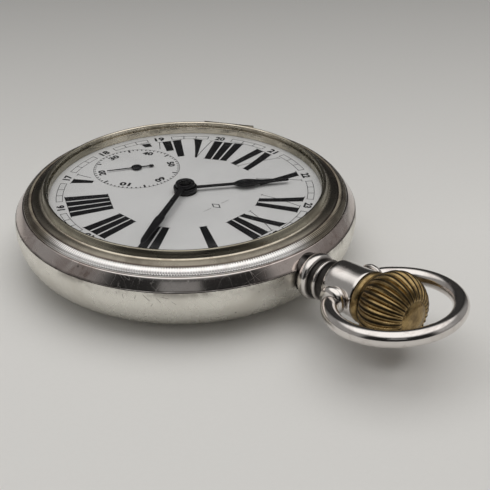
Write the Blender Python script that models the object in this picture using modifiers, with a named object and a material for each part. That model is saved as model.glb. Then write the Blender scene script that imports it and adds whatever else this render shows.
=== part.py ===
"""Open face pocket watch: hinged silver case with bow and crown, enamel dial with
sub seconds, and a keyless lever movement.

All dimensions below are millimetres, measured from the centre of the dial's face
(+Y to 12 o'clock and the crown, +X to 3 o'clock, +Z out of the dial).  The last step
scales to metres and lifts the watch so that the flat of its back is at z = 0.
"""
import math

import bmesh
import bpy
from mathutils import Matrix, Vector

# ---------------------------------------------------------------- driving dimensions
UNIT = 0.001            # one model unit in metres
BACK_Z = -10.9          # flat of the back, below the dial's face
CASE_R = 26.4           # case radius at the seam
SEAM_Z = -2.35          # seam between the case middle and the back
BEZEL_R = 24.1          # reeded edge of the bezel
DIAL_R = 22.0           # enamel dial
DIAL_T = 0.9
PENDANT_Z = -3.12       # axis of pendant, stem and crown
BOW_Y = 34.6            # bow pivots
BOW_R = 9.07            # bow centre line
BOW_OUT = 7.8           # centre of the bow's circle, out from its pivots
BOW_WIRE = 1.2          # bow wire radius
BOW_TILT = 4.5          # rest angle of the bow, degrees above the pendant axis
PLATE_R = 22.05
PLATE_TOP, PLATE_BOT = -1.9, -3.6
BRIDGE_TOP, BRIDGE_BOT = -6.3, -7.3      # bridges face the back
WIND_TOP, WIND_BOT = -7.36, -7.86        # ratchet and crown wheel
HINGE_CLOCK = 240.0     # 8 o'clock, where the three covers are hinged
MINUTE_ANGLE = 61.8     # the hands stand at ten past ten
HOUR_ANGLE = 306.0
SECOND_ANGLE = 121.0
STEPS = 32              # facets round a turned case part

CENTRE = (0.0, 0.0)
FOURTH = (0.0, -11.5)
THIRD = (2.76, -6.81)
BALANCE = (-11.3, -2.6)
ESCAPE = (-4.90, -9.76)
BARREL = (7.02, 5.68)
CROWN_WHEEL = (0.0, 14.95)
MINUTE_WHEEL = (0.0, 4.8)
SETTING_WHEEL = (0.0, 10.3)

# teeth
N_BARREL, N_CENTRE_P = 78, 10
N_CENTRE, N_THIRD_P = 64, 8
N_THIRD, N_FOURTH_P = 60, 8
N_FOURTH, N_ESCAPE_P = 70, 7
N_ESCAPE = 15
N_RATCHET, N_CROWN = 48, 30
N_CONTRATE, N_WIND_P = 24, 16
N_CANNON, N_MINUTE, N_MINUTE_P, N_HOUR = 12, 36, 10, 40
N_SETTING = 19

for old in list(bpy.data.objects):
    bpy.data.objects.remove(old, do_unlink=True)
PARTS = bpy.data.collections.new("pocket_watch")
CUTTERS = bpy.data.collections.new("cutters")
bpy.context.scene.collection.children.link(PARTS)
bpy.context.scene.collection.children.link(CUTTERS)
CUTTERS.hide_render = True


# ---------------------------------------------------------------- materials
def material(name, colour, rough, metal):
    mat = bpy.data.materials.new(name)
    mat.use_nodes = True
    bsdf = mat.node_tree.nodes["Principled BSDF"]
    bsdf.inputs["Base Color"].default_value = (*colour, 1)
    bsdf.inputs["Roughness"].default_value = rough
    bsdf.inputs["Metallic"].default_value = metal
    mat.diffuse_color = (*colour, 1)
    return mat


SILVER = material("silver_polished", (0.74, 0.72, 0.69), 0.16, 1)
SILVER_SATIN = material("silver_satin", (0.66, 0.64, 0.60), 0.34, 1)
OLD_NICKEL = material("old_nickel", (0.42, 0.40, 0.33), 0.30, 1)
AGED_BRASS = material("aged_brass", (0.52, 0.41, 0.22), 0.34, 1)
GILT = material("gilt_brass", (0.80, 0.62, 0.30), 0.30, 1)
NICKEL = material("nickel_plate", (0.72, 0.71, 0.68), 0.26, 1)
STEEL = material("polished_steel", (0.58, 0.58, 0.60), 0.18, 1)
BLUED = material("blued_steel", (0.03, 0.035, 0.07), 0.25, 1)
BLACK_STEEL = material("black_steel", (0.02, 0.02, 0.022), 0.30, 0.8)
ENAMEL = material("white_enamel", (0.86, 0.86, 0.84), 0.12, 0)
GLASS = material("crystal_glass", (0.95, 0.97, 0.97), 0.03, 0)
RUBY = material("ruby", (0.55, 0.03, 0.09), 0.10, 0)


# ---------------------------------------------------------------- helpers
def link(obj, coll=PARTS):
    coll.objects.link(obj)
    return obj


def bake(obj):
    """Turn whatever the object evaluates to into its own plain, welded mesh."""
    bpy.context.view_layer.update()
    graph = bpy.context.evaluated_depsgraph_get()
    mesh = bpy.data.meshes.new_from_object(obj.evaluated_get(graph))
    bm = bmesh.new()
    bm.from_mesh(mesh)
    bm.transform(obj.matrix_world)
    bmesh.ops.remove_doubles(bm, verts=bm.verts, dist=1e-4)
    bmesh.ops.dissolve_degenerate(bm, dist=1e-5, edges=bm.edges)
    bmesh.ops.recalc_face_normals(bm, faces=bm.faces)
    bm.to_mesh(mesh)
    bm.free()
    name = obj.name
    for coll in list(obj.users_collection):
        coll.objects.unlink(obj)
    bpy.data.objects.remove(obj, do_unlink=True)
    out = bpy.data.objects.new(name, mesh)
    return link(out)


def turned(name, profile, steps=STEPS, closed=True):
    """Solid of revolution about Z from (radius, height) points."""
    area = sum(
        a[0] * b[1] - b[0] * a[1]
        for a, b in zip(profile, profile[1:] + profile[:1])
    )
    if area > 0:
        profile = profile[::-1]
    mesh = bpy.data.meshes.new(name)
    n = len(profile)
    edges = [(i, i + 1) for i in range(n - 1)] + ([(n - 1, 0)] if closed else [])
    mesh.from_pydata([(r, 0, z) for r, z in profile], edges, [])
    obj = link(bpy.data.objects.new(name, mesh))
    screw = obj.modifiers.new("Screw", "SCREW")
    screw.axis = "Z"
    screw.angle = 2 * math.pi
    screw.steps = screw.render_steps = steps
    screw.use_merge_vertices = True
    screw.merge_threshold = 0.0001
    return bake(obj)


def solid_turned(name, profile, steps=STEPS):
    """Like turned, for a profile that starts and ends on the axis, top first."""
    return turned(name, profile, steps, closed=False)


def circle(centre, r, n=24, phase=0.0):
    return [
        (centre[0] + r * math.cos(phase + 2 * math.pi * i / n),
         centre[1] + r * math.sin(phase + 2 * math.pi * i / n))
        for i in range(n)
    ]


def arc(centre, r, a0, a1, n):
    """Points on an arc, angles in degrees counter-clockwise from +X."""
    return [
        (centre[0] + r * math.cos(math.radians(a0 + (a1 - a0) * i / n)),
         centre[1] + r * math.sin(math.radians(a0 + (a1 - a0) * i / n)))
        for i in range(n + 1)
    ]


def flat(name, outlines, z0, z1):
    """Flat piece between two heights; outlines after the first are its holes."""
    curve = bpy.data.curves.new(name, "CURVE")
    curve.dimensions = "2D"
    curve.fill_mode = "BOTH"
    curve.extrude = abs(z1 - z0) / 2
    for outline in outlines:
        spline = curve.splines.new("POLY")
        spline.points.add(len(outline) - 1)
        for point, (x, y) in zip(spline.points, outline):
            point.co = (x, y, 0, 1)
        spline.use_cyclic_u = True
    obj = link(bpy.data.objects.new(name, curve))
    obj.location.z = (z0 + z1) / 2
    return bake(obj)


def rod(name, p0, p1, r, sides=16):
    """Cylinder between two points."""
    p0, p1 = Vector(p0), Vector(p1)
    bm = bmesh.new()
    bmesh.ops.create_cone(
        bm, cap_ends=True, segments=sides, radius1=r, radius2=r,
        depth=(p1 - p0).length,
    )
    turn = (p1 - p0).to_track_quat("Z", "Y").to_matrix().to_4x4()
    bm.transform(Matrix.Translation((p0 + p1) / 2) @ turn)
    mesh = bpy.data.meshes.new(name)
    bm.to_mesh(mesh)
    bm.free()
    return link(bpy.data.objects.new(name, mesh))


def box(name, low, high, turn=None):
    bm = bmesh.new()
    bmesh.ops.create_cube(bm, size=1)
    low, high = Vector(low), Vector(high)
    bm.transform(
        (turn or Matrix()) @ Matrix.Translation((low + high) / 2)
        @ Matrix.Diagonal((*(high - low), 1))
    )
    mesh = bpy.data.meshes.new(name)
    bm.to_mesh(mesh)
    bm.free()
    return link(bpy.data.objects.new(name, mesh))


def boolean(base, others, operation, keep=False):
    name = base.name
    for other in others:
        mod = base.modifiers.new(operation.title(), "BOOLEAN")
        mod.operation = operation
        mod.solver = "EXACT"
        mod.object = other
    out = bake(base)
    out.name = name
    for other in others:
        if not keep:
            bpy.data.objects.remove(other, do_unlink=True)
    return out


def join(base, *others):
    return boolean(base, others, "UNION")


def cut(base, *others):
    return boolean(base, others, "DIFFERENCE")


def move(obj, x=0.0, y=0.0, z=0.0):
    obj.data.transform(Matrix.Translation((x, y, z)))
    return obj


def turn_to_y(obj, y=0.0, z=PENDANT_Z):
    """Lay a piece turned about Z down on the pendant axis: its height becomes y."""
    obj.data.transform(
        Matrix.Translation((0, y, z)) @ Matrix.Rotation(math.radians(-90), 4, "X")
    )
    return obj


def finish(obj, mat, origin=None, smooth=35):
    """Give the piece its material, its shading and its origin."""
    obj.data.materials.clear()
    obj.data.materials.append(mat)
    if origin is not None:
        origin = Vector(origin)
        obj.data.transform(Matrix.Translation(-origin))
        obj.location = origin
    obj.data.shade_smooth()
    obj.data.set_sharp_from_angle(angle=math.radians(smooth))
    return obj


def wheel_teeth(n, r_root, r_tip, phase=0.0):
    """Pointed teeth for a wheel; tooth 0 is centred on phase (radians)."""
    out = []
    for i in range(n):
        a = phase + 2 * math.pi * i / n
        out.append((r_tip * math.cos(a), r_tip * math.sin(a)))
        a += math.pi / n
        out.append((r_root * math.cos(a), r_root * math.sin(a)))
    return out


def leaf_teeth(n, r_root, r_tip, phase=0.0, tip=0.13):
    """Flat-topped leaves for a pinion; leaf 0 is centred on phase."""
    out = []
    for i in range(n):
        a = phase + 2 * math.pi * i / n
        p = 2 * math.pi / n
        for r, s in ((r_tip, -tip), (r_tip, tip), (r_root, 0.5)):
            out.append((r * math.cos(a + s * p), r * math.sin(a + s * p)))
    return out


def radial_bars(n, r_root, r_tip, half, phase=0.0):
    """Star of straight-sided bars, each twice half wide; bar 0 is centred on phase."""
    out = []
    for i in range(n):
        a = phase + 2 * math.pi * i / n
        for r, s in ((r_root, -half), (r_tip, -half), (r_tip, half), (r_root, half)):
            out.append((r * math.cos(a) - s * math.sin(a), r * math.sin(a) + s * math.cos(a)))
    return out


def at(points, centre):
    return [(x + centre[0], y + centre[1]) for x, y in points]


def towards(a, b):
    return math.atan2(b[1] - a[1], b[0] - a[0])


def pair(a, b, n_a, n_b):
    """Pitch radii of two meshing wheels from their centre distance and teeth."""
    d = math.dist(a, b)
    return d * n_a / (n_a + n_b), d * n_b / (n_a + n_b), 2 * d / (n_a + n_b)


def spokes(centre, r_hub, r_rim, count, width, phase=0.0):
    """Windows between the spokes of a crossed-out wheel."""
    out = []
    for k in range(count):
        a0 = phase + 2 * math.pi * k / count
        a1 = a0 + 2 * math.pi / count
        i0, o0 = math.asin(width / 2 / r_hub), math.asin(width / 2 / r_rim)
        outer = [
            (centre[0] + r_rim * math.cos(t), centre[1] + r_rim * math.sin(t))
            for t in (a0 + o0 + (a1 - a0 - 2 * o0) * i / 3 for i in range(4))
        ]
        inner = [
            (centre[0] + r_hub * math.cos(t), centre[1] + r_hub * math.sin(t))
            for t in (a1 - i0 - (a1 - a0 - 2 * i0) * i for i in range(2))
        ]
        out.append(outer + inner)
    return out


def clock(r, angle):
    """Point at a radius and a clock angle in degrees, 0 at 12 and 90 at 3."""
    return (r * math.sin(math.radians(angle)), r * math.cos(math.radians(angle)))


def at_hinge(r, along, z):
    """Point near the cover hinges: radius out, distance along the hinge, height."""
    a = math.radians(HINGE_CLOCK)
    return (
        r * math.sin(a) + along * math.cos(a),
        r * math.cos(a) - along * math.sin(a),
        z,
    )


HINGE_TURN = Matrix.Rotation(-math.radians(HINGE_CLOCK), 4, "Z")


def hinge_box(name, r0, r1, half, z0, z1):
    """Box lying radially at the hinge: its own Y is the radius."""
    return box(name, (-half, r0, z0), (half, r1, z1), HINGE_TURN)


def knuckle(name, r, z, a, b, radius, sides=10):
    return rod(name, at_hinge(r, a, z), at_hinge(r, b, z), radius, sides)


# ---------------------------------------------------------------- the case
BEZEL_AXIS = (24.75, -0.02)     # radius and height of each hinge axis
BACK_AXIS = (26.75, -2.75)
DUST_AXIS = (24.15, -4.25)

case = turned("case_middle", [
    (24.15, -0.12), (25.1, -0.48), (25.95, -1.35), (CASE_R, SEAM_Z + 0.02),
    (25.45, SEAM_Z), (25.35, -3.2), (23.0, -3.2), (23.0, -4.6), (21.5, -4.6),
    (21.5, -3.75), (22.3, -3.75), (22.3, -0.12),
])
bezel = turned("bezel", [
    (BEZEL_R, 0.46), (BEZEL_R, -0.07), (22.15, -0.07), (22.15, 0.04), (21.12, 0.04),
    (21.2, 1.1), (21.6, 1.16), (21.6, 1.52), (21.38, 1.6), (21.48, 1.86),
    (21.85, 1.84), (22.1, 1.4), (22.36, 0.56), (23.3, 0.4),
])
back = turned("back_cover", [
    (CASE_R, SEAM_Z - 0.05), (26.5, -3.5), (26.4, -5.0), (25.87, -6.6), (24.75, -8.35),
    (22.9, -9.75), (19.5, -10.55), (15.0, BACK_Z), (0.6, BACK_Z), (0.6, BACK_Z + 0.55),
    (15.0, BACK_Z + 0.55), (19.3, -10.02), (22.45, -9.27), (24.5, -7.6),
    (25.82, -5.0), (25.9, -3.6), (25.6, SEAM_Z - 0.05),
])
# the turned profile leaves a small centre hole, closed by a flush disc
back = join(back, rod("plug", (0, 0, BACK_Z), (0, 0, BACK_Z + 0.55), 0.9, 16))
dust = turned("dust_cover", [
    (23.75, -4.68), (23.75, -5.6), (23.2, -7.0), (21.9, -8.35),
    (17.0, -9.4), (0.6, -9.6), (0.6, -9.25), (16.8, -9.05),
    (21.5, -8.05), (22.8, -6.8), (23.3, -5.0), (22.6, -4.98),
    (22.6, -4.68),
])
dust = join(dust, rod("plug", (0, 0, -9.6), (0, 0, -9.25), 0.9, 16))

# bezel hinge: one knuckle on the bezel between two on the case
r, z = BEZEL_AXIS
case = join(case, knuckle("k", r, z, 1.7, 4.3, 0.68), knuckle("k", r, z, -4.3, -1.7, 0.68))
case = cut(case, knuckle("c", r, z, -1.7, 1.7, 0.8))
bezel = cut(bezel, knuckle("c", r, z, 1.6, 4.5, 0.8), knuckle("c", r, z, -4.5, -1.6, 0.8))
bezel = join(bezel, knuckle("k", r, z, -1.6, 1.6, 0.68), hinge_box("b", 23.4, r, 1.5, -0.05, 0.34))
for obj_cut in ("case", "bezel"):
    globals()[obj_cut] = cut(globals()[obj_cut], knuckle("c", r, z, -4.6, 4.6, 0.33))
bezel_pin = knuckle("bezel_hinge_pin", r, z, -4.25, 4.25, 0.28)

# back hinge: two knuckles on the back outside one on the case
r, z = BACK_AXIS
case = join(case, knuckle("k", r, z, -2.2, 2.2, 0.62), hinge_box("b", 25.0, r - 0.2, 2.1, -2.75, -2.1))
case = cut(case, knuckle("c", r, z, 2.2, 5.4, 0.72), knuckle("c", r, z, -5.4, -2.2, 0.72))
back = cut(back, knuckle("c", r, z, -2.3, 2.3, 0.95), hinge_box("c", 25.0, r + 1, 2.3, -3.4, -2.0))
back = join(back, knuckle("k", r, z, 2.3, 5.2, 0.62), knuckle("k", r, z, -5.2, -2.3, 0.62))
case = cut(case, knuckle("c", r, z, -5.5, 5.5, 0.33))
back = cut(back, knuckle("c", r, z, -5.5, 5.5, 0.33))
back_pin = knuckle("back_hinge_pin", r, z, -5.15, 5.15, 0.28)

# dust cover hinge, inside the back
r, z = DUST_AXIS
case = join(case, knuckle("k", r, z, 1.5, 3.6, 0.5), knuckle("k", r, z, -3.6, -1.5, 0.5),
            hinge_box("b", 22.6, r, 3.5, -4.4, -4.0))
case = cut(case, hinge_box("c", 23.02, r + 1, 1.5, -5.2, -3.4))
dust = cut(dust, knuckle("c", r, z, 1.4, 3.8, 0.62), knuckle("c", r, z, -3.8, -1.4, 0.62))
dust = join(dust, knuckle("k", r, z, -1.4, 1.4, 0.5), hinge_box("b", 23.35, r + 0.15, 1.35, -5.2, -4.3))
case = cut(case, knuckle("c", r, z, -3.9, 3.9, 0.26))
dust = cut(dust, knuckle("c", r, z, -3.9, 3.9, 0.26))
dust_pin = knuckle("dust_cover_hinge_pin", r, z, -3.55, 3.55, 0.21)

# way through the case for the stem, and the notch in the back round the pendant
case = cut(case, rod("c", (0, 20.5, PENDANT_Z), (0, 30, PENDANT_Z), 1.45, 20))
case = cut(case, box("c", (-2.6, 24.0, -3.6), (2.6, 26.2, -2.37)))
back = cut(back, rod("c", (0, 25.0, PENDANT_Z), (0, 30, PENDANT_Z), 2.0, 24))

finish(case, SILVER)
finish(bezel, OLD_NICKEL, at_hinge(*[BEZEL_AXIS[0], 0, BEZEL_AXIS[1]]))
finish(back, SILVER_SATIN, at_hinge(BACK_AXIS[0], 0, BACK_AXIS[1]))
finish(dust, SILVER_SATIN, at_hinge(DUST_AXIS[0], 0, DUST_AXIS[1]))
finish(bezel_pin, STEEL)
finish(back_pin, STEEL)
finish(dust_pin, STEEL)

crystal = solid_turned("crystal", [
    (0, 2.62), (11.0, 2.45), (18.2, 1.95), (21.52, 1.46),
    (21.52, 1.24), (21.1, 1.24), (18.2, 1.62), (11.0, 2.05), (0, 2.2),
])
finish(crystal, GLASS, at_hinge(BEZEL_AXIS[0], 0, BEZEL_AXIS[1]))

# pendant: soldered tube with two beads, a barrel-shaped sleeve and the bow's sockets
pendant = turned("pendant", [
    (3.4, 37.3), (3.7, 37.15), (3.6, 34.0), (3.5, 31.9), (3.2, 31.5),
    (2.75, 31.3), (2.75, 30.3), (3.0, 30.05), (3.13, 29.75), (3.0, 29.45), (2.85, 29.2),
    (2.9, 28.75), (3.4, 28.4), (3.55, 27.75), (3.4, 27.15), (2.9, 26.85),
    (2.9, 24.6), (1.45, 24.6), (1.45, 37.3),
], 20)
for vertex in pendant.data.vertices:
    # the beads next to the case sit a little below the axis of the bore
    if math.hypot(vertex.co.x, vertex.co.y) > 2:
        rise = min(max((vertex.co.z - 28.5) / 4, 0), 1)
        vertex.co.y += 0.7 * (1 - rise * rise * (3 - 2 * rise))
turn_to_y(pendant)
pendant = join(pendant, rod("k", (2.9, BOW_Y, PENDANT_Z), (3.85, BOW_Y, PENDANT_Z), 1.72, 16),
               rod("k", (-3.85, BOW_Y, PENDANT_Z), (-2.9, BOW_Y, PENDANT_Z), 1.72, 16))
pendant = cut(pendant, rod("c", (2.3, BOW_Y, PENDANT_Z), (5, BOW_Y, PENDANT_Z), 0.78, 12),
              rod("c", (-5, BOW_Y, PENDANT_Z), (-2.3, BOW_Y, PENDANT_Z), 0.78, 12))
pendant = cut(pendant, solid_turned("c", [
    (0, 2), (24.4, 2), (24.4, -0.1), (24.78, -0.2), (25.4, -0.63), (25.95, -1.28), (26.3, -1.85),
    (26.46, -2.3), (26.8, -2.5), (26.8, -9.0), (0, -9.0)], STEPS))
finish(pendant, SILVER)

# bow: round wire, its two button ends pivot in the sockets of the pendant
start = math.degrees(math.acos(BOW_OUT / BOW_R))
wire = bpy.data.curves.new("bow", "CURVE")
wire.dimensions = "3D"
wire.bevel_depth = BOW_WIRE
wire.bevel_resolution = 2
wire.use_fill_caps = True
turns = [start - 1] + [start + 4 + (352 - 2 * start) * i / 26 for i in range(27)] + [361 - start]
spline = wire.splines.new("POLY")
spline.points.add(len(turns) - 1)
for point, a in zip(spline.points, turns):
    x, y = BOW_R * math.sin(math.radians(a)), -BOW_R * math.cos(math.radians(a))
    point.co = (x, BOW_OUT + y, 0, 1)
    point.radius = 0.7 if a in (turns[0], turns[-1]) else 1
bow = bake(link(bpy.data.objects.new("bow", wire)))
balls = []
for side in (1, -1):
    button = solid_turned("ball", [(0, 5.15), (1.25, 5.05), (1.8, 4.75), (2.1, 4.3), (2.05, 3.97), (0, 3.97)], 16)
    button.data.transform(Matrix.Rotation(side * math.pi / 2, 4, "Y"))
    balls.append(button)
    balls.append(rod("p", (side * 2.5, 0, 0), (side * 5.0, 0, 0), 0.7, 12))
bow = join(bow, *balls)
bow.data.transform(
    Matrix.Translation((0, BOW_Y, PENDANT_Z)) @ Matrix.Rotation(math.radians(BOW_TILT), 4, "X")
)
finish(bow, SILVER, (0, BOW_Y, PENDANT_Z))

# crown: onion shape, fluted, with a plain collar
crown = turned("crown", [
    (2.4, 46.05), (3.75, 45.4), (4.75, 44.4), (5.42, 42.6),
    (5.3, 41.2), (4.3, 39.3), (3.62, 38.9), (3.62, 38.5),
    (3.9, 38.35), (3.95, 37.9), (3.85, 37.5), (0.6, 37.5), (0.6, 46.05),
], 24)
crown = join(crown, rod("k", (0, 0, 37.5), (0, 0, 46.05), 1.0, 12))
flutes = flat("c", [leaf_teeth(28, 4.1, 5.6, 0.0, 0.2)], 38.95, 46.2)
envelope = boolean(crown, [flutes], "INTERSECT")
envelope.name = "crown"
crown = join(envelope, turned("k", [
    (3.62, 39.2), (3.62, 38.5), (3.9, 38.35), (3.95, 37.9), (3.85, 37.5), (0.5, 37.5), (0.5, 39.2),
], 24), rod("k", (0, 0, 37.5), (0, 0, 40.0), 1.0, 12))
turn_to_y(crown)
finish(crown, AGED_BRASS, (0, 37.5, PENDANT_Z))

# ---------------------------------------------------------------- dial and hands
dial = flat("dial", [
    circle((0, 0), DIAL_R, STEPS), circle((0, 0), 1.8, 20), circle(FOURTH, 0.5, 12),
], -DIAL_T, 0)
finish(dial, ENAMEL)


def hand(name, length, half_widths, hub_r, hole_r, tail, z0, z1, clock_angle, mat, centre=(0, 0)):
    """Flat hand pointing to a clock angle: half widths are (distance, half width) pairs."""
    right = [(w, d) for d, w in half_widths]
    left = [(-w, d) for d, w in reversed(half_widths)]
    blade = flat(name, [right + [(0, length)] + left + ([(-w, -d) for d, w in tail] + [(w, -d) for d, w in reversed(tail)])], z0, z1)
    blade = join(blade, rod("k", (0, 0, z0 - 0.03), (0, 0, z1 + 0.12), hub_r, 24))
    blade = cut(blade, rod("c", (0, 0, z0 - 1), (0, 0, z1 + 1), hole_r, 16))
    blade.data.transform(Matrix.Translation((centre[0], centre[1], 0)) @ Matrix.Rotation(-math.radians(clock_angle), 4, "Z"))
    return finish(blade, mat, (centre[0], centre[1], 0))


hand("minute_hand", 19.4, [(0.4, 0.5), (10.2, 0.52), (11.2, 0.62), (12.4, 0.8), (13.8, 0.68), (15.4, 0.42), (17.4, 0.26), (19.0, 0.14)],
     1.5, 0.83, [(0.6, 0.5)], 1.16, 1.36, MINUTE_ANGLE, BLACK_STEEL)
hand("hour_hand", 15.9, [(0.4, 0.36), (7.6, 0.34), (8.3, 0.6), (9.0, 1.02), (9.8, 1.16), (10.7, 0.96), (11.6, 0.62), (13.2, 0.4), (15.4, 0.2)],
     2.05, 1.63, [(0.6, 0.36)], 0.52, 0.72, HOUR_ANGLE, BLACK_STEEL)
hand("seconds_hand", 4.95, [(0.3, 0.17), (2.0, 0.14), (4.5, 0.07)],
     0.82, 0.28, [(0.3, 0.14), (1.9, 0.13), (2.1, 0.34), (2.5, 0.38), (2.75, 0.2)], 0.17, 0.29, SECOND_ANGLE, BLACK_STEEL, FOURTH)

# ---------------------------------------------------------------- motion work under the dial
r_cannon, r_minute, m1 = pair(CENTRE, MINUTE_WHEEL, N_CANNON, N_MINUTE)
r_minp, r_hour, m2 = pair(MINUTE_WHEEL, CENTRE, N_MINUTE_P, N_HOUR)
up = math.pi / 2
cannon = flat("cannon_pinion", [leaf_teeth(N_CANNON, r_cannon - 0.2, r_cannon + 0.14, up)], -1.86, -1.48)
cannon = join(cannon, rod("k", CENTRE + (-1.8,), CENTRE + (1.6,), 0.8, 18))
cannon = cut(cannon, rod("c", (0, 0, -2.5), (0, 0, 1.3), 0.46, 12))
finish(cannon, STEEL, (0, 0, 0))
minute = flat("minute_wheel", [
    at(wheel_teeth(N_MINUTE, r_minute - 0.2, r_minute + 0.13, -up + math.pi / N_MINUTE), MINUTE_WHEEL),
    circle(MINUTE_WHEEL, 0.4, 10)], -1.8, -1.55)
minute = join(minute, flat("k", [
    at(leaf_teeth(N_MINUTE_P, r_minp - 0.19, r_minp + 0.13, -up), MINUTE_WHEEL), circle(MINUTE_WHEEL, 0.4, 12)], -1.65, -0.98))
finish(minute, GILT, MINUTE_WHEEL + (0,))
hour = flat("hour_wheel", [
    wheel_teeth(N_HOUR, r_hour - 0.18, r_hour + 0.12, up + math.pi / N_HOUR), circle((0, 0), 0.95, 16)], -1.38, -1.1)
hour = join(hour, flat("k", [circle((0, 0), 1.6, 24), circle((0, 0), 0.95, 16)], -1.3, 0.86))
finish(hour, GILT, (0, 0, 0))
r_min2, r_set, m3 = pair(MINUTE_WHEEL, SETTING_WHEEL, N_MINUTE, N_SETTING)
setting = flat("setting_wheel", [
    at(leaf_teeth(N_SETTING, r_set - 0.2, r_set + 0.13, -up + (0 if N_MINUTE % 2 == 0 else 0)), SETTING_WHEEL),
    circle(SETTING_WHEEL, 0.5, 12)], -1.8, -1.55)
finish(setting, STEEL, SETTING_WHEEL + (0,))

# ---------------------------------------------------------------- keyless work
stem = rod("winding_stem", (0, 13.3, PENDANT_Z), (0, 40.0, PENDANT_Z), 0.7, 16)
stem = cut(stem, turn_to_y(turned("c", [(1.2, 20.6), (1.2, 20.1), (0.5, 20.1), (0.5, 20.6)], 16)))
finish(stem, STEEL, (0, 37.5, PENDANT_Z))
crown = bpy.data.objects["crown"]
crown_hole = rod("c", (0, 36.0, PENDANT_Z), (0, 40.5, PENDANT_Z), 0.74, 16)
crown.data.transform(Matrix.Translation(crown.location))
crown.location = (0, 0, 0)
crown = cut(crown, crown_hole)
finish(crown, AGED_BRASS, (0, 37.5, PENDANT_Z))

wp = flat("winding_pinion", [leaf_teeth(N_WIND_P, 1.55, 2.0, 0.0), circle((0, 0), 0.8, 16)], 17.45, 18.35)
wp = join(wp, turned("k", [(1.3, 17.6), (1.3, 16.75), (0.8, 16.75), (0.8, 17.6)], 16))
turn_to_y(wp)
finish(wp, STEEL, (0, 17.9, PENDANT_Z))
clutch = turned("sliding_pinion", [
    (1.55, 16.55), (1.55, 15.75), (1.1, 15.65), (1.1, 14.75), (1.55, 14.65), (1.55, 13.75),
    (0.8, 13.75), (0.8, 16.55)], 14)
turn_to_y(clutch)
finish(clutch, STEEL, (0, 15.0, PENDANT_Z))

LEVER_PIVOT = (4.6, 16.2)
YOKE_PIVOT = (-5.0, 9.8)
lever = flat("setting_lever", [
    [(4.6, 15.1), (5.6, 15.6), (5.7, 16.6), (5.0, 17.4), (3.4, 18.9), (1.5, 20.4), (-0.3, 20.8), (-0.8, 20.55),
     (-0.8, 20.1), (0.9, 19.5), (2.7, 17.6), (3.5, 16.4), (3.7, 15.4)],
    circle(LEVER_PIVOT, 0.45, 12)], -1.8, -1.4)
lever = join(lever, rod("k", (-0.45, 20.35, -1.5), (-0.45, 20.35, -2.55), 0.19, 10))
finish(lever, STEEL, LEVER_PIVOT + (0,))
yoke = flat("yoke", [
    [(-5.0, 8.9), (-4.2, 9.3), (-4.0, 10.2), (-3.7, 12.2), (-2.9, 13.9), (-1.5, 15.02), (0.2, 15.05), (0.2, 15.35),
     (-1.6, 15.4), (-3.2, 15.0), (-4.6, 12.8), (-5.5, 10.6), (-5.8, 9.6)],
    circle(YOKE_PIVOT, 0.45, 12)], -1.8, -1.4)
finish(yoke, STEEL, YOKE_PIVOT + (0,))

# ---------------------------------------------------------------- power: barrel and winding wheels
r_bar, r_cp, m = pair(BARREL, CENTRE, N_BARREL, N_CENTRE_P)
ph = towards(BARREL, CENTRE)
barrel = turned("barrel", [
    (7.65, -3.78), (7.65, -5.3), (7.3, -5.3), (7.3, -4.05), (1.0, -4.05), (1.0, -3.78)], 28)
move(barrel, *BARREL)
barrel = join(barrel, flat("k", [
    at(wheel_teeth(N_BARREL, r_bar - 0.22, r_bar + 0.16, ph), BARREL), circle(BARREL, 7.4, 28)], -4.8, -5.25))
finish(barrel, GILT, BARREL + (0,))
cover = flat("barrel_cover", [circle(BARREL, 7.6, 28), circle(BARREL, 1.0, 12)], -5.32, -5.6)
finish(cover, GILT, BARREL + (0,))
arbor = rod("barrel_arbor", BARREL + (-2.0,), BARREL + (-7.9,), 0.85, 16)
arbor = join(arbor, rod("k", BARREL + (-4.2,), BARREL + (-5.15,), 1.9, 20))
arbor = cut(arbor, rod("c", BARREL + (-7.2,), BARREL + (-9.0,), 0.36, 10))
finish(arbor, STEEL, BARREL + (0,))

spring_turns, spring_n = 5, 5 * 12
centre_line = []
for i in range(spring_n + 1):
    t = i / spring_n
    a, rr = 2 * math.pi * spring_turns * t, 2.35 + (7.05 - 2.35) * t
    centre_line.append((a, rr))
mainspring = flat("mainspring", [
    at([((rr + 0.13) * math.cos(a), (rr + 0.13) * math.sin(a)) for a, rr in centre_line]
       + [((rr - 0.13) * math.cos(a), (rr - 0.13) * math.sin(a)) for a, rr in reversed(centre_line)], BARREL)],
    -4.15, -5.2)
finish(mainspring, BLUED, BARREL + (0,))

r_ratchet, r_crown, m = pair(BARREL, CROWN_WHEEL, N_RATCHET, N_CROWN)
ph = towards(BARREL, CROWN_WHEEL)
ratchet = flat("ratchet_wheel", [
    at(wheel_teeth(N_RATCHET, r_ratchet - 0.32, r_ratchet + 0.22, ph), BARREL), circle(BARREL, 0.88, 16)], WIND_TOP, WIND_BOT)
finish(ratchet, NICKEL, BARREL + (0,))
crown_wheel = flat("crown_wheel", [
    at(wheel_teeth(N_CROWN, r_crown - 0.32, r_crown + 0.22, ph + math.pi + math.pi / N_CROWN), CROWN_WHEEL), circle(CROWN_WHEEL, 0.9, 16)], WIND_TOP, WIND_BOT)
slots = cut(flat("c", [circle(CROWN_WHEEL, 3.6, 24), circle(CROWN_WHEEL, 2.0, 24)], -5.3, -4.5),
            flat("c", [at(radial_bars(N_CONTRATE, 1.9, 3.8, 0.2, up + math.pi / N_CONTRATE), CROWN_WHEEL)], -5.5, -4.3))
ring = flat("k", [circle(CROWN_WHEEL, 3.1, 24), circle(CROWN_WHEEL, 2.6, 24)], WIND_TOP - 0.1, -4.95)
ring = cut(ring, slots)
crown_wheel = join(crown_wheel, ring)
finish(crown_wheel, NICKEL, CROWN_WHEEL + (0,))


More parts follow.
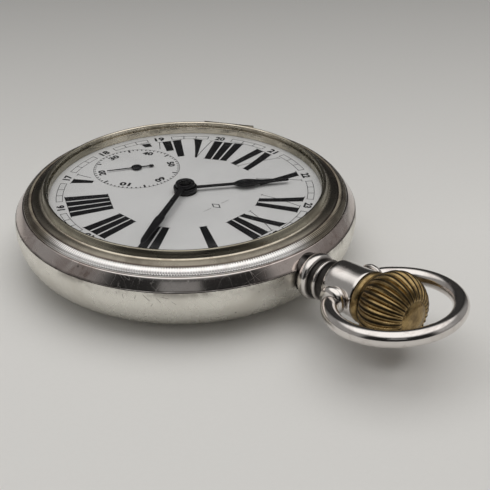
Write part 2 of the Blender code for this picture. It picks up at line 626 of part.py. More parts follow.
def screw(name, x, y, z_top, head_r, head_h, shank_r, shank_l, slot_angle=20.0):
    """Slotted screw whose head faces the back: z_top is the underside of its head."""
    body = solid_turned(name, [
        (0, z_top + shank_l), (shank_r, z_top + shank_l), (shank_r, z_top), (head_r, z_top),
        (head_r, z_top - head_h), (0, z_top - head_h)], 10)
    slot = box("c", (-head_r * 1.5, -0.1, -0.5), (head_r * 1.5, 0.1, 0.14))
    slot.data.transform(Matrix.Translation((0, 0, z_top - head_h)) @ Matrix.Rotation(math.radians(slot_angle), 4, "Z"))
    body = cut(body, slot)
    move(body, x, y)
    return finish(body, BLUED, (x, y, z_top))


screw("ratchet_screw", *BARREL, -7.92, 1.15, 0.3, 0.3, 0.6, 70)
screw("crown_wheel_screw", *CROWN_WHEEL, -7.92, 1.5, 0.3, 0.8, 1.5, 140)

# click: its nose stands in the ratchet's teeth on the side away from the crown wheel
CLICK_PIVOT = (-0.6, 9.3)
ca = towards(BARREL, CLICK_PIVOT)
nose = (BARREL[0] + (r_ratchet + 0.1) * math.cos(ca - 0.16), BARREL[1] + (r_ratchet + 0.1) * math.sin(ca - 0.16))
click = flat("click", [
    [(-1.5, 9.5), (-1.0, 10.05), (-0.2, 10.12), (0.45, 10.0), nose, (0.35, 9.15), (-0.2, 8.6), (-0.8, 8.5), (-1.4, 8.9)],
    circle(CLICK_PIVOT, 0.36, 10)], WIND_TOP, WIND_BOT + 0.05)
finish(click, STEEL, CLICK_PIVOT + (0,))
click_spring = flat("click_spring", [
    [(-5.0, 10.2), (-3.9, 10.2), (-3.75, 9.4), (-3.3, 8.75), (-2.4, 8.4), (-1.6, 8.42), (-1.05, 8.4),
     (-1.1, 8.22), (-1.7, 8.2), (-2.5, 8.15), (-3.5, 8.5), (-4.1, 9.1), (-5.0, 9.2)]], WIND_TOP, WIND_BOT + 0.15)
finish(click_spring, STEEL)

# ---------------------------------------------------------------- going train
def wheel(name, centre, teeth_pts, r_rim, z0, z1, pinion_pts, pz0, pz1, arbor_z0, arbor_z1, arbor_r, mat=GILT, n_spokes=4, width=0.6, hub=1.1, phase=0.3):
    w = flat(name, [at(teeth_pts, centre)] + spokes(centre, hub, r_rim, n_spokes, width, phase), z0, z1)
    p = flat("k", [at(pinion_pts, centre)], pz0, pz1)
    a = rod("k", centre + (arbor_z0,), centre + (arbor_z1,), arbor_r, 12)
    return finish(join(w, p, a), mat, centre + (0,))


r_cw, r_tp, m = pair(CENTRE, THIRD, N_CENTRE, N_THIRD_P)
centre_p_phase = towards(CENTRE, BARREL) + math.pi / N_CENTRE_P
wheel("centre_wheel", CENTRE, wheel_teeth(N_CENTRE, r_cw - 0.2, r_cw + 0.15, towards(CENTRE, THIRD)), r_cw - 0.75,
      -5.75, -6.0, leaf_teeth(N_CENTRE_P, r_cp - 0.26, r_cp + 0.16, centre_p_phase), -4.55, -5.6, 1.2, -6.95, 0.42)
r_tw, r_fp, m = pair(THIRD, FOURTH, N_THIRD, N_FOURTH_P)
wheel("third_wheel", THIRD, wheel_teeth(N_THIRD, r_tw - 0.16, r_tw + 0.11, towards(THIRD, FOURTH)), r_tw - 0.6,
      -4.6, -4.82, leaf_teeth(N_THIRD_P, r_tp - 0.2, r_tp + 0.13, towards(THIRD, CENTRE) + math.pi / N_THIRD_P), -5.63, -6.12,
      -3.1, -6.8, 0.2, width=0.45, hub=0.9)
r_fw, r_ep, m = pair(FOURTH, ESCAPE, N_FOURTH, N_ESCAPE_P)
wheel("fourth_wheel", FOURTH, wheel_teeth(N_FOURTH, r_fw - 0.14, r_fw + 0.1, towards(FOURTH, ESCAPE)), r_fw - 0.55,
      -5.3, -5.5, leaf_teeth(N_FOURTH_P, r_fp - 0.17, r_fp + 0.11, towards(FOURTH, THIRD) + math.pi / N_FOURTH_P), -4.35, -5.0,
      0.44, -6.8, 0.25, width=0.45, hub=0.9)

# club-toothed escape wheel
esc = []
for i in range(N_ESCAPE):
    a = 2 * math.pi * i / N_ESCAPE
    p = 2 * math.pi / N_ESCAPE
    for rr, s in ((2.75, -0.12), (3.45, 0.10), (3.58, 0.19), (3.4, 0.25), (2.75, 0.16)):
        esc.append((rr * math.cos(a + s * p), rr * math.sin(a + s * p)))
wheel("escape_wheel", ESCAPE, esc, 2.4, -4.15, -4.38,
      leaf_teeth(N_ESCAPE_P, r_ep - 0.14, r_ep + 0.1, towards(ESCAPE, FOURTH) + math.pi / N_ESCAPE_P), -5.15, -5.62, -3.1, -6.8, 0.17,
      mat=STEEL, n_spokes=4, width=0.4, hub=0.7)

# pallet fork, in line between the escape wheel and the balance
ed = math.dist(ESCAPE, BALANCE)
u = ((BALANCE[0] - ESCAPE[0]) / ed, (BALANCE[1] - ESCAPE[1]) / ed)
PALLET = (ESCAPE[0] + 4.42 * u[0], ESCAPE[1] + 4.42 * u[1])
right = [(0.30, 0.35), (3.2, 0.22), (3.55, 0.75), (4.15, 0.75), (4.15, 0.38), (3.75, 0.32)]
outline = (
    [(-0.4, 0.5), (-0.55, 1.5), (-1.1, 2.15), (-1.4, 2.7), (-0.85, 2.9), (-0.2, 2.4), (0.25, 1.5)]
    + right + [(x, -y) for x, y in reversed(right)]
    + [(0.25, -1.5), (-0.2, -2.4), (-0.85, -2.9), (-1.4, -2.7), (-1.1, -2.15), (-0.55, -1.5), (-0.4, -0.5)]
)
outline = [(PALLET[0] + x * u[0] - y * u[1], PALLET[1] + x * u[1] + y * u[0]) for x, y in outline]
fork = flat("pallet_fork", [outline], -4.16, -4.38)
fork = join(fork, rod("k", PALLET + (-3.2,), PALLET + (-4.9,), 0.17, 10))
finish(fork, STEEL, PALLET + (0,))

# balance wheel with two arms, its staff and roller, and the flat hairspring
rim = [circle(BALANCE, 8.0, 32)]
arm = []
for s0 in (0, 180):
    inner = arc(BALANCE, 7.2, s0 + 5, s0 + 175, 10)
    hub = arc(BALANCE, 1.3, s0 + 150, s0 + 30, 4)
    arm.append(inner + hub)
balance = flat("balance_wheel", rim + arm + [circle(BALANCE, 0.5, 14)], -5.2, -5.5)
balance = join(balance, flat("k", [circle(BALANCE, 8.0, 32), circle(BALANCE, 7.3, 32)], -5.05, -5.65))
finish(balance, GILT, BALANCE + (0,))
staff = solid_turned("balance_staff", [
    (0, -2.6), (0.14, -2.6), (0.14, -3.3), (0.42, -3.5), (0.42, -4.0), (1.2, -4.0), (1.2, -4.1),
    (0.42, -4.15), (0.48, -5.0), (0.48, -5.7), (0.3, -5.75), (0.3, -6.2), (0.14, -6.3), (0.14, -7.1), (0, -7.1)], 14)
move(staff, *BALANCE)
finish(staff, STEEL, BALANCE + (0,))
pin_at = (BALANCE[0] - 0.85 * u[0], BALANCE[1] - 0.85 * u[1])
finish(rod("impulse_pin", pin_at + (-4.12,), pin_at + (-4.38,), 0.12, 8), RUBY, BALANCE + (0,))
hs_n = 5 * 12
hs = [(2 * math.pi * 5 * i / hs_n, 0.75 + (3.9 - 0.75) * i / hs_n) for i in range(hs_n + 1)]
hairspring = flat("hairspring", [
    at([((rr + 0.06) * math.cos(a), (rr + 0.06) * math.sin(a)) for a, rr in hs]
       + [((rr - 0.06) * math.cos(a), (rr - 0.06) * math.sin(a)) for a, rr in reversed(hs)], BALANCE)],
    -5.86, -6.1)
finish(hairspring, BLUED, BALANCE + (0,))

# ---------------------------------------------------------------- plate, bridges, cocks
plate = flat("main_plate", [
    circle((0, 0), PLATE_R, STEPS), circle(BARREL, 0.9, 14), circle(CENTRE, 0.5, 12), circle(THIRD, 0.25, 10),
    circle(FOURTH, 0.32, 10), circle(ESCAPE, 0.22, 10), circle(PALLET, 0.22, 10), circle(BALANCE, 0.62, 12),
    [(-2.3, 12.4), (2.3, 12.4), (2.3, 19.0), (-2.3, 19.0)],
], PLATE_TOP, PLATE_BOT)
plate = cut(plate, rod("c", (0, 18.0, PENDANT_Z), (0, 24.0, PENDANT_Z), 0.85, 14),
            box("c", (-0.75, 19.9, PENDANT_Z), (0.9, 21.7, -1.5)))
finish(plate, NICKEL)


# barrel bridge: upper right of the plate, its rim is the foot
barrel_bridge_outline = (
    arc((0, 0), 20.9, -22, 118, 18)
    + [(-6.0, 12.2), (-3.9, 6.2), (-3.2, 2.0), (-1.7, -1.6), (1.2, -2.2), (8.0, -4.6), (14.0, -5.6)]
)
bb_screws = [clock(19.3, -14), clock(19.2, 48), clock(19.3, 98)]
barrel_bridge = flat("barrel_bridge", [barrel_bridge_outline, circle(CENTRE, 0.5, 12), circle(BARREL, 1.0, 16), circle(CROWN_WHEEL, 3.35, 24)]
                     + [circle(s, 0.52, 8) for s in bb_screws], BRIDGE_TOP, BRIDGE_BOT)
foot = flat("k", [arc((0, 0), 20.9, -20, 116, 18) + arc((0, 0), 18.3, 116, -20, 12)], PLATE_BOT - 0.02, BRIDGE_TOP - 0.2)
foot = cut(foot, box("c", (-2.6, 10, -6.35), (2.6, 19.2, -3.0)), rod("c", (0, 17, PENDANT_Z), (0, 24, PENDANT_Z), 0.85, 14))
for s in bb_screws:
    foot = cut(foot, rod("c", s + (-3.0,), s + (-8.0,), 0.52, 8))
barrel_bridge = join(barrel_bridge, foot)
finish(barrel_bridge, NICKEL)

tb_screws = [clock(18.6, 130), clock(18.6, 192)]
train_bridge = flat("train_bridge", [
    arc((0, 0), 20.9, -110, -28, 12)
    + [(14.4, -7.3), (8.2, -5.9), (5.2, -4.4), (2.2, -4.9), (0.4, -8.4), (-2.6, -9.0), (-4.6, -8.5), (-6.0, -9.6),
       (-6.3, -11.2), (-6.8, -15.5)],
    circle(THIRD, 0.62, 12), circle(FOURTH, 0.62, 12), circle(ESCAPE, 0.62, 12)] + [circle(s, 0.52, 8) for s in tb_screws], BRIDGE_TOP, BRIDGE_BOT)
foot = flat("k", [arc((0, 0), 20.9, -108, -30, 12) + arc((0, 0), 17.2, -30, -108, 8)], PLATE_BOT - 0.02, BRIDGE_TOP - 0.2)
for s in tb_screws:
    foot = cut(foot, rod("c", s + (-3.0,), s + (-8.0,), 0.52, 8))
train_bridge = join(train_bridge, foot)
finish(train_bridge, NICKEL)

cock_foot = (-12.6, 10.4)
bal_cock = flat("balance_cock", [
    [(-15.6, 11.6), (-13.9, 13.6), (-10.6, 13.9), (-8.7, 12.2), (-8.9, 9.6), (-9.6, 6.0), (-9.5, 2.0), (-9.1, -1.2),
     (-9.4, -3.9), (-11.3, -4.9), (-13.2, -3.9), (-13.6, -1.2), (-13.6, 2.0), (-14.2, 6.0), (-15.9, 8.6)],
    circle(BALANCE, 0.62, 12), circle(cock_foot, 0.52, 10)], BRIDGE_TOP, BRIDGE_BOT)
foot = flat("k", [
    [(-15.4, 11.4), (-13.8, 13.3), (-10.7, 13.6), (-9.0, 12.1), (-9.2, 8.2), (-14.6, 8.2), (-15.6, 8.7)],
    circle(cock_foot, 0.52, 10)], PLATE_BOT - 0.02, BRIDGE_TOP - 0.2)
bal_cock = join(bal_cock, foot)
finish(bal_cock, NICKEL)

# small cock over the pallet fork, its foot beyond the balance rim
pf = (-10.9, -13.0)
pallet_bridge = flat("pallet_bridge", [
    [(PALLET[0] + 0.9, PALLET[1] + 0.3), (PALLET[0] + 0.3, PALLET[1] + 0.95), (PALLET[0] - 0.7, PALLET[1] + 0.7),
     (PALLET[0] - 1.0, PALLET[1] - 0.3), (pf[0] - 1.5, pf[1] + 1.2), (pf[0] - 1.4, pf[1] - 0.6), (pf[0] - 0.2, pf[1] - 1.4),
     (pf[0] + 1.3, pf[1] - 0.9), (pf[0] + 1.5, pf[1] + 0.6), (PALLET[0] + 0.6, PALLET[1] - 0.7)],
    circle(PALLET, 0.22, 10)], -4.6, -4.95)
foot = flat("k", [[(pf[0] - 1.3, pf[1] + 0.9), (pf[0] - 1.2, pf[1] - 0.5), (pf[0] - 0.1, pf[1] - 1.2), (pf[0] + 1.1, pf[1] - 0.8),
                   (pf[0] + 1.2, pf[1] + 0.9)]], PLATE_BOT - 0.02, -4.7)
pallet_bridge = join(pallet_bridge, foot)
finish(pallet_bridge, NICKEL)

# regulator: index lever turning round the balance jewel, on top of the cock
regulator = flat("regulator", [
    circle(BALANCE, 1.5, 20)[2:19]
    + [(BALANCE[0] + 1.25, BALANCE[1] - 0.9), (BALANCE[0] + 2.6, BALANCE[1] - 2.2), (BALANCE[0] + 2.9, BALANCE[1] - 1.9)],
    circle(BALANCE, 0.95, 16)], BRIDGE_BOT - 0.03, BRIDGE_BOT - 0.25)
regulator = join(regulator, flat("k", [
    [(BALANCE[0] - 0.28, BALANCE[1] + 1.2), (BALANCE[0] + 0.28, BALANCE[1] + 1.2), (BALANCE[0] + 0.08, BALANCE[1] + 5.6), (BALANCE[0] - 0.08, BALANCE[1] + 5.6)]],
    BRIDGE_BOT - 0.03, BRIDGE_BOT - 0.25))
finish(regulator, STEEL, BALANCE + (0,))


def jewel(name, centre, z0, z1, r=0.58):
    j = flat(name, [circle(centre, r, 14), circle(centre, 0.26, 10)], z0, z1)
    return finish(j, RUBY, centre + (0,))


jewel("third_jewel", THIRD, BRIDGE_TOP - 0.35, BRIDGE_BOT)
jewel("fourth_jewel", FOURTH, BRIDGE_TOP - 0.35, BRIDGE_BOT)
jewel("escape_jewel", ESCAPE, BRIDGE_TOP - 0.35, BRIDGE_BOT)
cap = flat("balance_jewel", [circle(BALANCE, 0.85, 16)], BRIDGE_BOT - 0.04, BRIDGE_BOT - 0.3)
finish(cap, RUBY, BALANCE + (0,))

for i, s in enumerate(bb_screws):
    screw(f"barrel_bridge_screw_{i + 1}", *s, BRIDGE_BOT - 0.03, 0.95, 0.35, 0.47, 3.0, 30 + 55 * i)
for i, s in enumerate(tb_screws):
    screw(f"train_bridge_screw_{i + 1}", *s, BRIDGE_BOT - 0.03, 0.95, 0.35, 0.47, 3.0, 65 + 70 * i)
screw("cock_screw", *cock_foot, BRIDGE_BOT - 0.03, 0.95, 0.35, 0.47, 3.0, 15)

# ---------------------------------------------------------------- to metres, back on z = 0
for obj in PARTS.objects:
    obj.data.transform(Matrix.Scale(UNIT, 4))
    obj.location = (Vector(obj.location) + Vector((0, 0, -BACK_Z))) * UNIT
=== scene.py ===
"""Pocket watch lying on its back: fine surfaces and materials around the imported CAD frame.

The dial faces +Z with 12 o'clock towards +Y, where the pendant, crown and bow stand out.
Lengths are millimetres from the centre of the dial's face; build_mesh() lifts them by DEPTH,
so that the back rests at z = 0, and turns them into the frame's metres. Clock angles are
degrees from 12, clockwise seen from above.
"""
import math
from functools import cached_property
from itertools import zip_longest

import bmesh
import bpy
import numpy as np
from mathutils import Matrix, Vector


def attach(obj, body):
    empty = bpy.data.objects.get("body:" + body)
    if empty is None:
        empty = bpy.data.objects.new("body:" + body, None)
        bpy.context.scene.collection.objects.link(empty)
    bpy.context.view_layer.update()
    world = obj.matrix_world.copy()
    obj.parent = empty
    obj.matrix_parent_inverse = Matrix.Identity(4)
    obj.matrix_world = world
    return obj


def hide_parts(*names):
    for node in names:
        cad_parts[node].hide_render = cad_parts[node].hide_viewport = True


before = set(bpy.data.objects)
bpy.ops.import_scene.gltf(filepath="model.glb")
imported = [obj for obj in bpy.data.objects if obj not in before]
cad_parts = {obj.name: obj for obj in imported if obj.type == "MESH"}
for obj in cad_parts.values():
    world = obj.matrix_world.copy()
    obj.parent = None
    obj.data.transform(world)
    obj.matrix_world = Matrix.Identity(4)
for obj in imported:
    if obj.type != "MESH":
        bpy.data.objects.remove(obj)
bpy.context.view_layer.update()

DEPTH = 10.9             # from the dial's face down to the floor
PENDANT_Z = -3.12        # height of the pendant's axis
NECK_DROP = 0.7          # how far the neck's beads sit below that axis
CROWN_RIBS = 28
SECONDS_CENTRE = (0.0, -11.5)
HINGE_CLOCK = 240.0      # clock angle of the three hinges
# radius from the watch's axis, height, and radius of the knuckles
BEZEL_HINGE = (24.75, -0.02, 0.48)
BACK_HINGE = (26.75, -2.75, 0.62)
DUST_HINGE = (24.15, -4.25, 0.5)
DEGREES = 57.29578       # degrees in a radian
VIEW_CLOCK = math.radians(135.625)
TO_CAMERA = Vector((math.sin(VIEW_CLOCK), -math.cos(VIEW_CLOCK), 0))


# ------------------------------------------------------------------ node helpers
class Nodes:
    """Short ways to add nodes to one tree."""

    spare = None         # value for a Math node's unused inputs; None leaves them alone

    def __init__(self, tree):
        self.tree = tree

    def new(self, kind):
        return self.tree.nodes.new("ShaderNode" + kind)

    def put(self, socket, value):
        if isinstance(value, bpy.types.NodeSocket):
            self.tree.links.new(value, socket)
        else:
            socket.default_value = value

    def math(self, operation, *values):
        node = self.new("Math")
        node.operation = operation
        for socket, value in zip_longest(node.inputs, values, fillvalue=self.spare):
            if value is not None:
                self.put(socket, value)
        return node.outputs[0]

    def times(self, first, *others):
        for other in others:
            first = self.math("MULTIPLY", first, other)
        return first

    def add(self, first, second):
        return self.math("ADD", first, second)

    def minus(self, first, second):
        return self.math("SUBTRACT", first, second)

    def larger(self, first, second):
        return self.math("MAXIMUM", first, second)

    def scaled(self, value, by, plus=None):
        if plus is None:
            return self.math("MULTIPLY", value, by)
        return self.math("MULTIPLY_ADD", value, by, plus)

    def gap(self, value, centre):
        """Distance of a value from a centre."""
        return self.math("ABSOLUTE", self.minus(value, centre))

    def span(self, value, start, end, low=0.0, high=1.0, smooth=True):
        """Goes from low to high while the value goes from start to end."""
        node = self.new("MapRange")
        node.interpolation_type = "SMOOTHSTEP" if smooth else "LINEAR"
        self.put(node.inputs["Value"], value)
        limits = {"From Min": start, "From Max": end, "To Min": low, "To Max": high}
        for name, limit in limits.items():
            self.put(node.inputs[name], limit)
        return node.outputs[0]

    def rise(self, value, start, end):
        return self.span(value, start, end)

    def fall(self, value, start, end):
        return self.span(value, start, end, low=1.0, high=0.0)


class Mat(Nodes):
    """Material built on the Principled shader, patterned by object coordinates."""

    def __init__(self, name, colour, rough, metal=1.0):
        self.material = bpy.data.materials.new(name)
        self.material.use_nodes = True
        super().__init__(self.material.node_tree)
        self.shader = self.tree.nodes["Principled BSDF"]
        self.set("Base Color", (*colour, 1))
        self.set("Roughness", rough)
        self.set("Metallic", metal)
        self.material.diffuse_color = (*colour, 1)
        self.position = self.new("TexCoord").outputs["Object"]

    def set(self, name, value):
        self.put(self.shader.inputs[name], value)

    @cached_property
    def axes(self):
        node = self.new("SeparateXYZ")
        self.put(node.inputs[0], self.position)
        return node.outputs

    @cached_property
    def x(self):
        return self.scaled(self.axes[0], by=1000.0)

    @cached_property
    def y(self):
        return self.scaled(self.axes[1], by=1000.0)

    @cached_property
    def z(self):
        return self.scaled(self.axes[2], by=1000.0, plus=-DEPTH)

    def length(self, first, second):
        squares = self.add(self.times(first, first), self.times(second, second))
        return self.math("SQRT", squares)

    def radius(self):
        return self.length(self.x, self.y)

    def clock(self):
        """Clock angle, -180 to 180."""
        return self.scaled(self.math("ARCTAN2", self.x, self.y), by=DEGREES)

    def vec(self, x, y, z):
        node = self.new("CombineXYZ")
        for socket, value in zip(node.inputs, (x, y, z)):
            self.put(socket, value)
        return node.outputs[0]

    def noise(self, scale, detail=3.0, rough=0.55, vec=None, distortion=0.0):
        node = self.new("TexNoise")
        self.put(node.inputs["Vector"], self.position if vec is None else vec)
        node.inputs["Scale"].default_value = scale
        node.inputs["Detail"].default_value = detail
        node.inputs["Roughness"].default_value = rough
        node.inputs["Distortion"].default_value = distortion
        return node.outputs["Fac"]

    def patches(self, start, end, low=0.0, high=1.0, **noise):
        """Noise with its contrast raised between start and end."""
        return self.span(self.noise(**noise), start, end, low, high)

    def pits(self, scale, start, end, where):
        """Small round spots, kept where another pattern is high."""
        node = self.new("TexVoronoi")
        self.put(node.inputs["Vector"], self.position)
        node.inputs["Scale"].default_value = scale
        return self.times(self.fall(node.outputs["Distance"], start, end), where)

    def mix(self, amount, base, over, share=None):
        """Lays one colour over another; share limits the amount."""
        if share is not None:
            amount = self.scaled(amount, by=share)
        node = self.new("Mix")
        node.data_type = "RGBA"
        self.put(node.inputs["Factor"], amount)
        for index, value in ((6, base), (7, over)):
            if isinstance(value, tuple):
                value = (*value, 1)
            self.put(node.inputs[index], value)
        return node.outputs[2]

    def scratches(self, scale, stretch, turn, width):
        """Fine straight scratches: a narrow band of a stretched noise."""
        node = self.new("Mapping")
        self.put(node.inputs["Vector"], self.position)
        node.inputs["Rotation"].default_value = turn
        node.inputs["Scale"].default_value = stretch
        pattern = self.noise(scale, detail=1.5, rough=0.5, vec=node.outputs[0])
        return self.fall(self.gap(pattern, 0.5), start=0.0, end=width)

    def finish(self, colour, rough, height=None, strength=None, distance=0.00002):
        """Connects colour and roughness and, given a height pattern, a bump in metres."""
        self.set("Base Color", colour)
        self.set("Roughness", rough)
        if height is not None:
            node = self.new("Bump")
            node.inputs["Strength"].default_value = strength
            node.inputs["Distance"].default_value = distance
            self.put(node.inputs["Height"], height)
            self.set("Normal", node.outputs[0])


# ------------------------------------------------------------------ case materials
def silver_band():
    mat = Mat("case_silver", colour=(0.80, 0.78, 0.75), rough=0.14)
    patch = mat.patches(start=0.46, end=0.58, scale=95, detail=5, rough=0.6, distortion=0.4)
    fine = mat.patches(start=0.45, end=0.75, scale=900, detail=4, rough=0.7)
    # painted sheen: the brown and pink tarnish is faded in the middle of the near side, facing the
    # camera, so that it is painted brighter than its two ends
    side = mat.span(mat.gap(mat.clock(), centre=42.0), start=12.0, end=34.0, low=0.25)
    brown = mat.times(patch, side, mat.scaled(fine, by=0.5, plus=0.5))
    pink = mat.patches(start=0.35, end=0.65, scale=38, detail=4)
    bright = mat.mix(mat.times(pink, side), base=(0.80, 0.765, 0.735), over=(0.64, 0.56, 0.525))
    colour = mat.mix(brown, bright, over=(0.30, 0.225, 0.20), share=0.9)
    pits = mat.pits(scale=620, start=0.05, end=0.13,
                    where=mat.patches(start=0.52, end=0.62, scale=140))
    seam = mat.times(mat.fall(mat.z, start=-2.31, end=-2.02),
                     mat.patches(start=0.35, end=0.6, low=0.35, scale=260, detail=4))
    dark = mat.larger(mat.scaled(pits, by=0.85), mat.scaled(seam, by=0.8))
    colour = mat.mix(dark, colour, over=(0.05, 0.04, 0.035))
    scratch = mat.larger(
        mat.scratches(scale=42, stretch=(1, 14, 6), turn=(0.3, 0.5, 0.7), width=0.012),
        mat.scratches(scale=55, stretch=(12, 1, 4), turn=(1.1, 0.2, 0.3), width=0.010))
    rough = mat.add(mat.scaled(brown, by=0.20, plus=0.13), mat.scaled(scratch, by=0.14))
    height = mat.add(mat.scaled(mat.noise(scale=330), by=0.5), mat.scaled(scratch, by=-0.25))
    height = mat.minus(height, mat.scaled(pits, by=0.8))
    mat.finish(colour, rough, height, strength=0.22, distance=0.00003)
    return mat


# short marks cut below the seam, from half past one to past two o'clock:
# clock angle, height, slope, length, width
BACK_MARKS = (
    (55.0, -3.25, 0.95, 1.35, 0.030), (51.2, -3.55, 1.05, 0.95, 0.024),
    (49.2, -3.1, 0.25, 1.1, 0.020), (58.5, -3.3, -3.5, 0.65, 0.024),
    (62.5, -3.35, 6.0, 0.75, 0.028), (46.6, -3.9, 0.8, 0.8, 0.02),
    (64.6, -3.0, 2.4, 0.4, 0.025), (53.4, -4.4, -1.4, 0.6, 0.022),
)
BACK_MM_PER_DEGREE = 0.459


def cut_marks(mat):
    clock = mat.clock()
    marks = None
    for angle, level, slope, length, width in BACK_MARKS:
        sideways = mat.scaled(mat.minus(clock, angle), by=BACK_MM_PER_DEGREE)
        upward = mat.minus(mat.z, level)
        unit = 1 / math.hypot(1, slope)
        across = mat.scaled(sideways, by=slope, plus=mat.scaled(upward, by=-1.0))
        across = mat.math("ABSOLUTE", mat.scaled(across, by=unit))
        along = mat.scaled(mat.scaled(upward, by=slope, plus=sideways), by=unit)
        along = mat.math("ABSOLUTE", along)
        mark = mat.times(mat.fall(across, start=width * 0.6, end=width * 1.6),
                         mat.fall(along, start=length * 0.35, end=length * 0.62))
        marks = mark if marks is None else mat.larger(marks, mark)
    return marks


def silver_back():
    mat = Mat("back_silver", colour=(0.78, 0.76, 0.70), rough=0.28)
    cloud = mat.patches(start=0.42, end=0.68, scale=120, detail=5, rough=0.6)
    fine = mat.noise(scale=1300, detail=4, rough=0.65)
    colour = mat.mix(cloud, base=(0.80, 0.78, 0.72), over=(0.62, 0.59, 0.53), share=0.5)
    grime = mat.times(mat.rise(mat.z, start=-3.6, end=-2.4),
                      mat.patches(start=0.46, end=0.62, scale=200, detail=4, rough=0.65))
    pits = mat.pits(scale=520, start=0.04, end=0.11,
                    where=mat.patches(start=0.5, end=0.6, scale=110))
    marks = cut_marks(mat)
    dark = mat.larger(mat.scaled(pits, by=0.6), mat.scaled(marks, by=0.85))
    dark = mat.larger(mat.scaled(grime, by=0.55), dark)
    colour = mat.mix(dark, colour, over=(0.09, 0.07, 0.06))
    scratch = mat.larger(
        mat.scratches(scale=40, stretch=(1, 16, 8), turn=(0.2, 0.4, 1.3), width=0.014),
        mat.scratches(scale=50, stretch=(14, 1, 5), turn=(0.9, 0.1, 0.2), width=0.012))
    rough = mat.add(mat.scaled(cloud, by=0.12, plus=0.24), mat.scaled(scratch, by=0.1))
    height = mat.add(mat.scaled(fine, by=0.35), mat.scaled(scratch, by=-0.3))
    cuts = mat.add(mat.scaled(marks, by=1.2), mat.scaled(pits, by=0.6))
    mat.finish(colour, rough, mat.minus(height, cuts), strength=0.28, distance=0.00003)
    return mat


def pendant_grooves(mat, colour):
    """Paints shade into the hollows between the neck's beads and beside the case; gives colour and
    roughness.
    """
    inner = mat.rise(mat.gap(mat.y, centre=28.87), start=0.5, end=0.28)
    outer = mat.rise(mat.gap(mat.y, centre=30.68), start=0.85, end=0.55)
    hollow_shade = mat.scaled(mat.larger(inner, outer), by=0.93)
    ring = mat.times(mat.span(mat.gap(mat.y, centre=31.7), start=0.0, end=0.6, low=0.7, high=0.0),
                     mat.patches(start=0.4, end=0.6, scale=700))
    # painted shade on the neck beside the case
    edge = mat.scaled(mat.rise(mat.y, start=27.05, end=26.8), by=0.9)
    dark = mat.larger(mat.larger(hollow_shade, ring), edge)
    colour = mat.mix(dark, colour, over=(0.03, 0.026, 0.024))
    return colour, mat.scaled(hollow_shade, by=0.3, plus=0.14)


def silver_wire(name, grooves):
    mat = Mat(name, colour=(0.80, 0.775, 0.75), rough=0.12)
    patch = mat.patches(start=0.5, end=0.7, scale=260, detail=4, rough=0.6, distortion=0.5)
    colour = mat.mix(patch, base=(0.76, 0.725, 0.695), over=(0.46, 0.39, 0.36), share=0.5)
    if grooves:
        colour, rough = pendant_grooves(mat, colour)
    else:
        rough = mat.scaled(patch, by=0.10, plus=0.11)
    scratch = mat.larger(
        mat.scratches(scale=70, stretch=(1, 12, 5), turn=(0.6, 0.2, 0.9), width=0.015),
        mat.scratches(scale=80, stretch=(10, 1, 7), turn=(0.2, 1.0, 0.4), width=0.012))
    height = mat.add(mat.scaled(mat.noise(scale=420), by=0.5), mat.scaled(scratch, by=-0.3))
    mat.finish(colour, rough, height, strength=0.2, distance=0.00003)
    return mat


def bezel_metal():
    mat = Mat("bezel_metal", colour=(0.5, 0.47, 0.38), rough=0.26)
    near_clock = 47.0
    radius = mat.radius()
    worn = mat.patches(start=0.42, end=0.66, scale=170, detail=5, rough=0.6)
    fine = mat.noise(scale=1500, rough=0.6)
    colour = mat.mix(worn, base=(0.36, 0.335, 0.265), over=(0.25, 0.225, 0.175))
    # painted highlight: the inner ring is painted pale cream on the far side
    turn = mat.gap(mat.clock(), near_clock)
    far_highlight = mat.times(mat.rise(turn, start=126.0, end=146.0), mat.rise(turn, start=232.0, end=214.0),
                    mat.span(radius, start=22.34, end=22.2, high=0.85))
    highlight_cream = mat.mix(worn, base=(0.86, 0.79, 0.66), over=(0.60, 0.54, 0.43))
    colour = mat.mix(far_highlight, colour, highlight_cream)
    # narrow golden step, then the darker slope outside it
    step = mat.times(mat.rise(radius, start=22.2, end=22.34),
                     mat.rise(radius, start=22.62, end=22.52))
    slope = mat.times(mat.rise(radius, start=22.52, end=22.62),
                      mat.rise(radius, start=23.78, end=23.7))
    gold = mat.mix(mat.patches(start=0.45, end=0.65, scale=300, detail=4, rough=0.6),
                   base=(0.66, 0.60, 0.49), over=(0.44, 0.38, 0.30))
    colour = mat.mix(step, colour, gold)
    dull = mat.mix(worn, base=(0.27, 0.245, 0.20), over=(0.17, 0.15, 0.12))
    colour = mat.mix(slope, colour, dull)
    # painted shade in the corner under the reeded rim
    rim_corner_shade = mat.times(mat.rise(radius, start=23.42, end=23.66),
                     mat.rise(radius, start=23.84, end=23.74),
                     mat.patches(start=0.3, end=0.6, low=0.55, high=0.95, scale=240))
    colour = mat.mix(rim_corner_shade, colour, over=(0.07, 0.05, 0.045))
    # painted highlight and shade: the reeded rim is painted bright on the near side, facing the
    # camera, and dark all round the rest
    silver = mat.mix(mat.patches(start=0.45, end=0.7, scale=600),
                     base=(0.88, 0.865, 0.85), over=(0.62, 0.57, 0.54), share=0.3)
    near_rim_highlight = mat.fall(mat.gap(mat.clock(), near_clock), start=38.0, end=56.0)
    rim_painted_shade = mat.mix(worn, base=(0.21, 0.185, 0.145), over=(0.12, 0.10, 0.08))
    silver = mat.mix(near_rim_highlight, rim_painted_shade, silver)
    rim = mat.rise(radius, start=23.74, end=23.84)
    rough = mat.add(mat.scaled(rim, by=-0.10, plus=0.25), mat.scaled(worn, by=0.08))
    # long marks running round the ring
    around = mat.vec(mat.scaled(radius, by=2.2), mat.scaled(mat.z, by=2.2),
                     mat.scaled(mat.clock(), by=0.004))
    turned = mat.noise(scale=34, detail=2, rough=0.5, vec=around)
    height = mat.add(mat.scaled(fine, by=0.3), mat.scaled(turned, by=0.7))
    mat.finish(mat.mix(rim, colour, silver), rough, height, strength=0.16)
    return mat


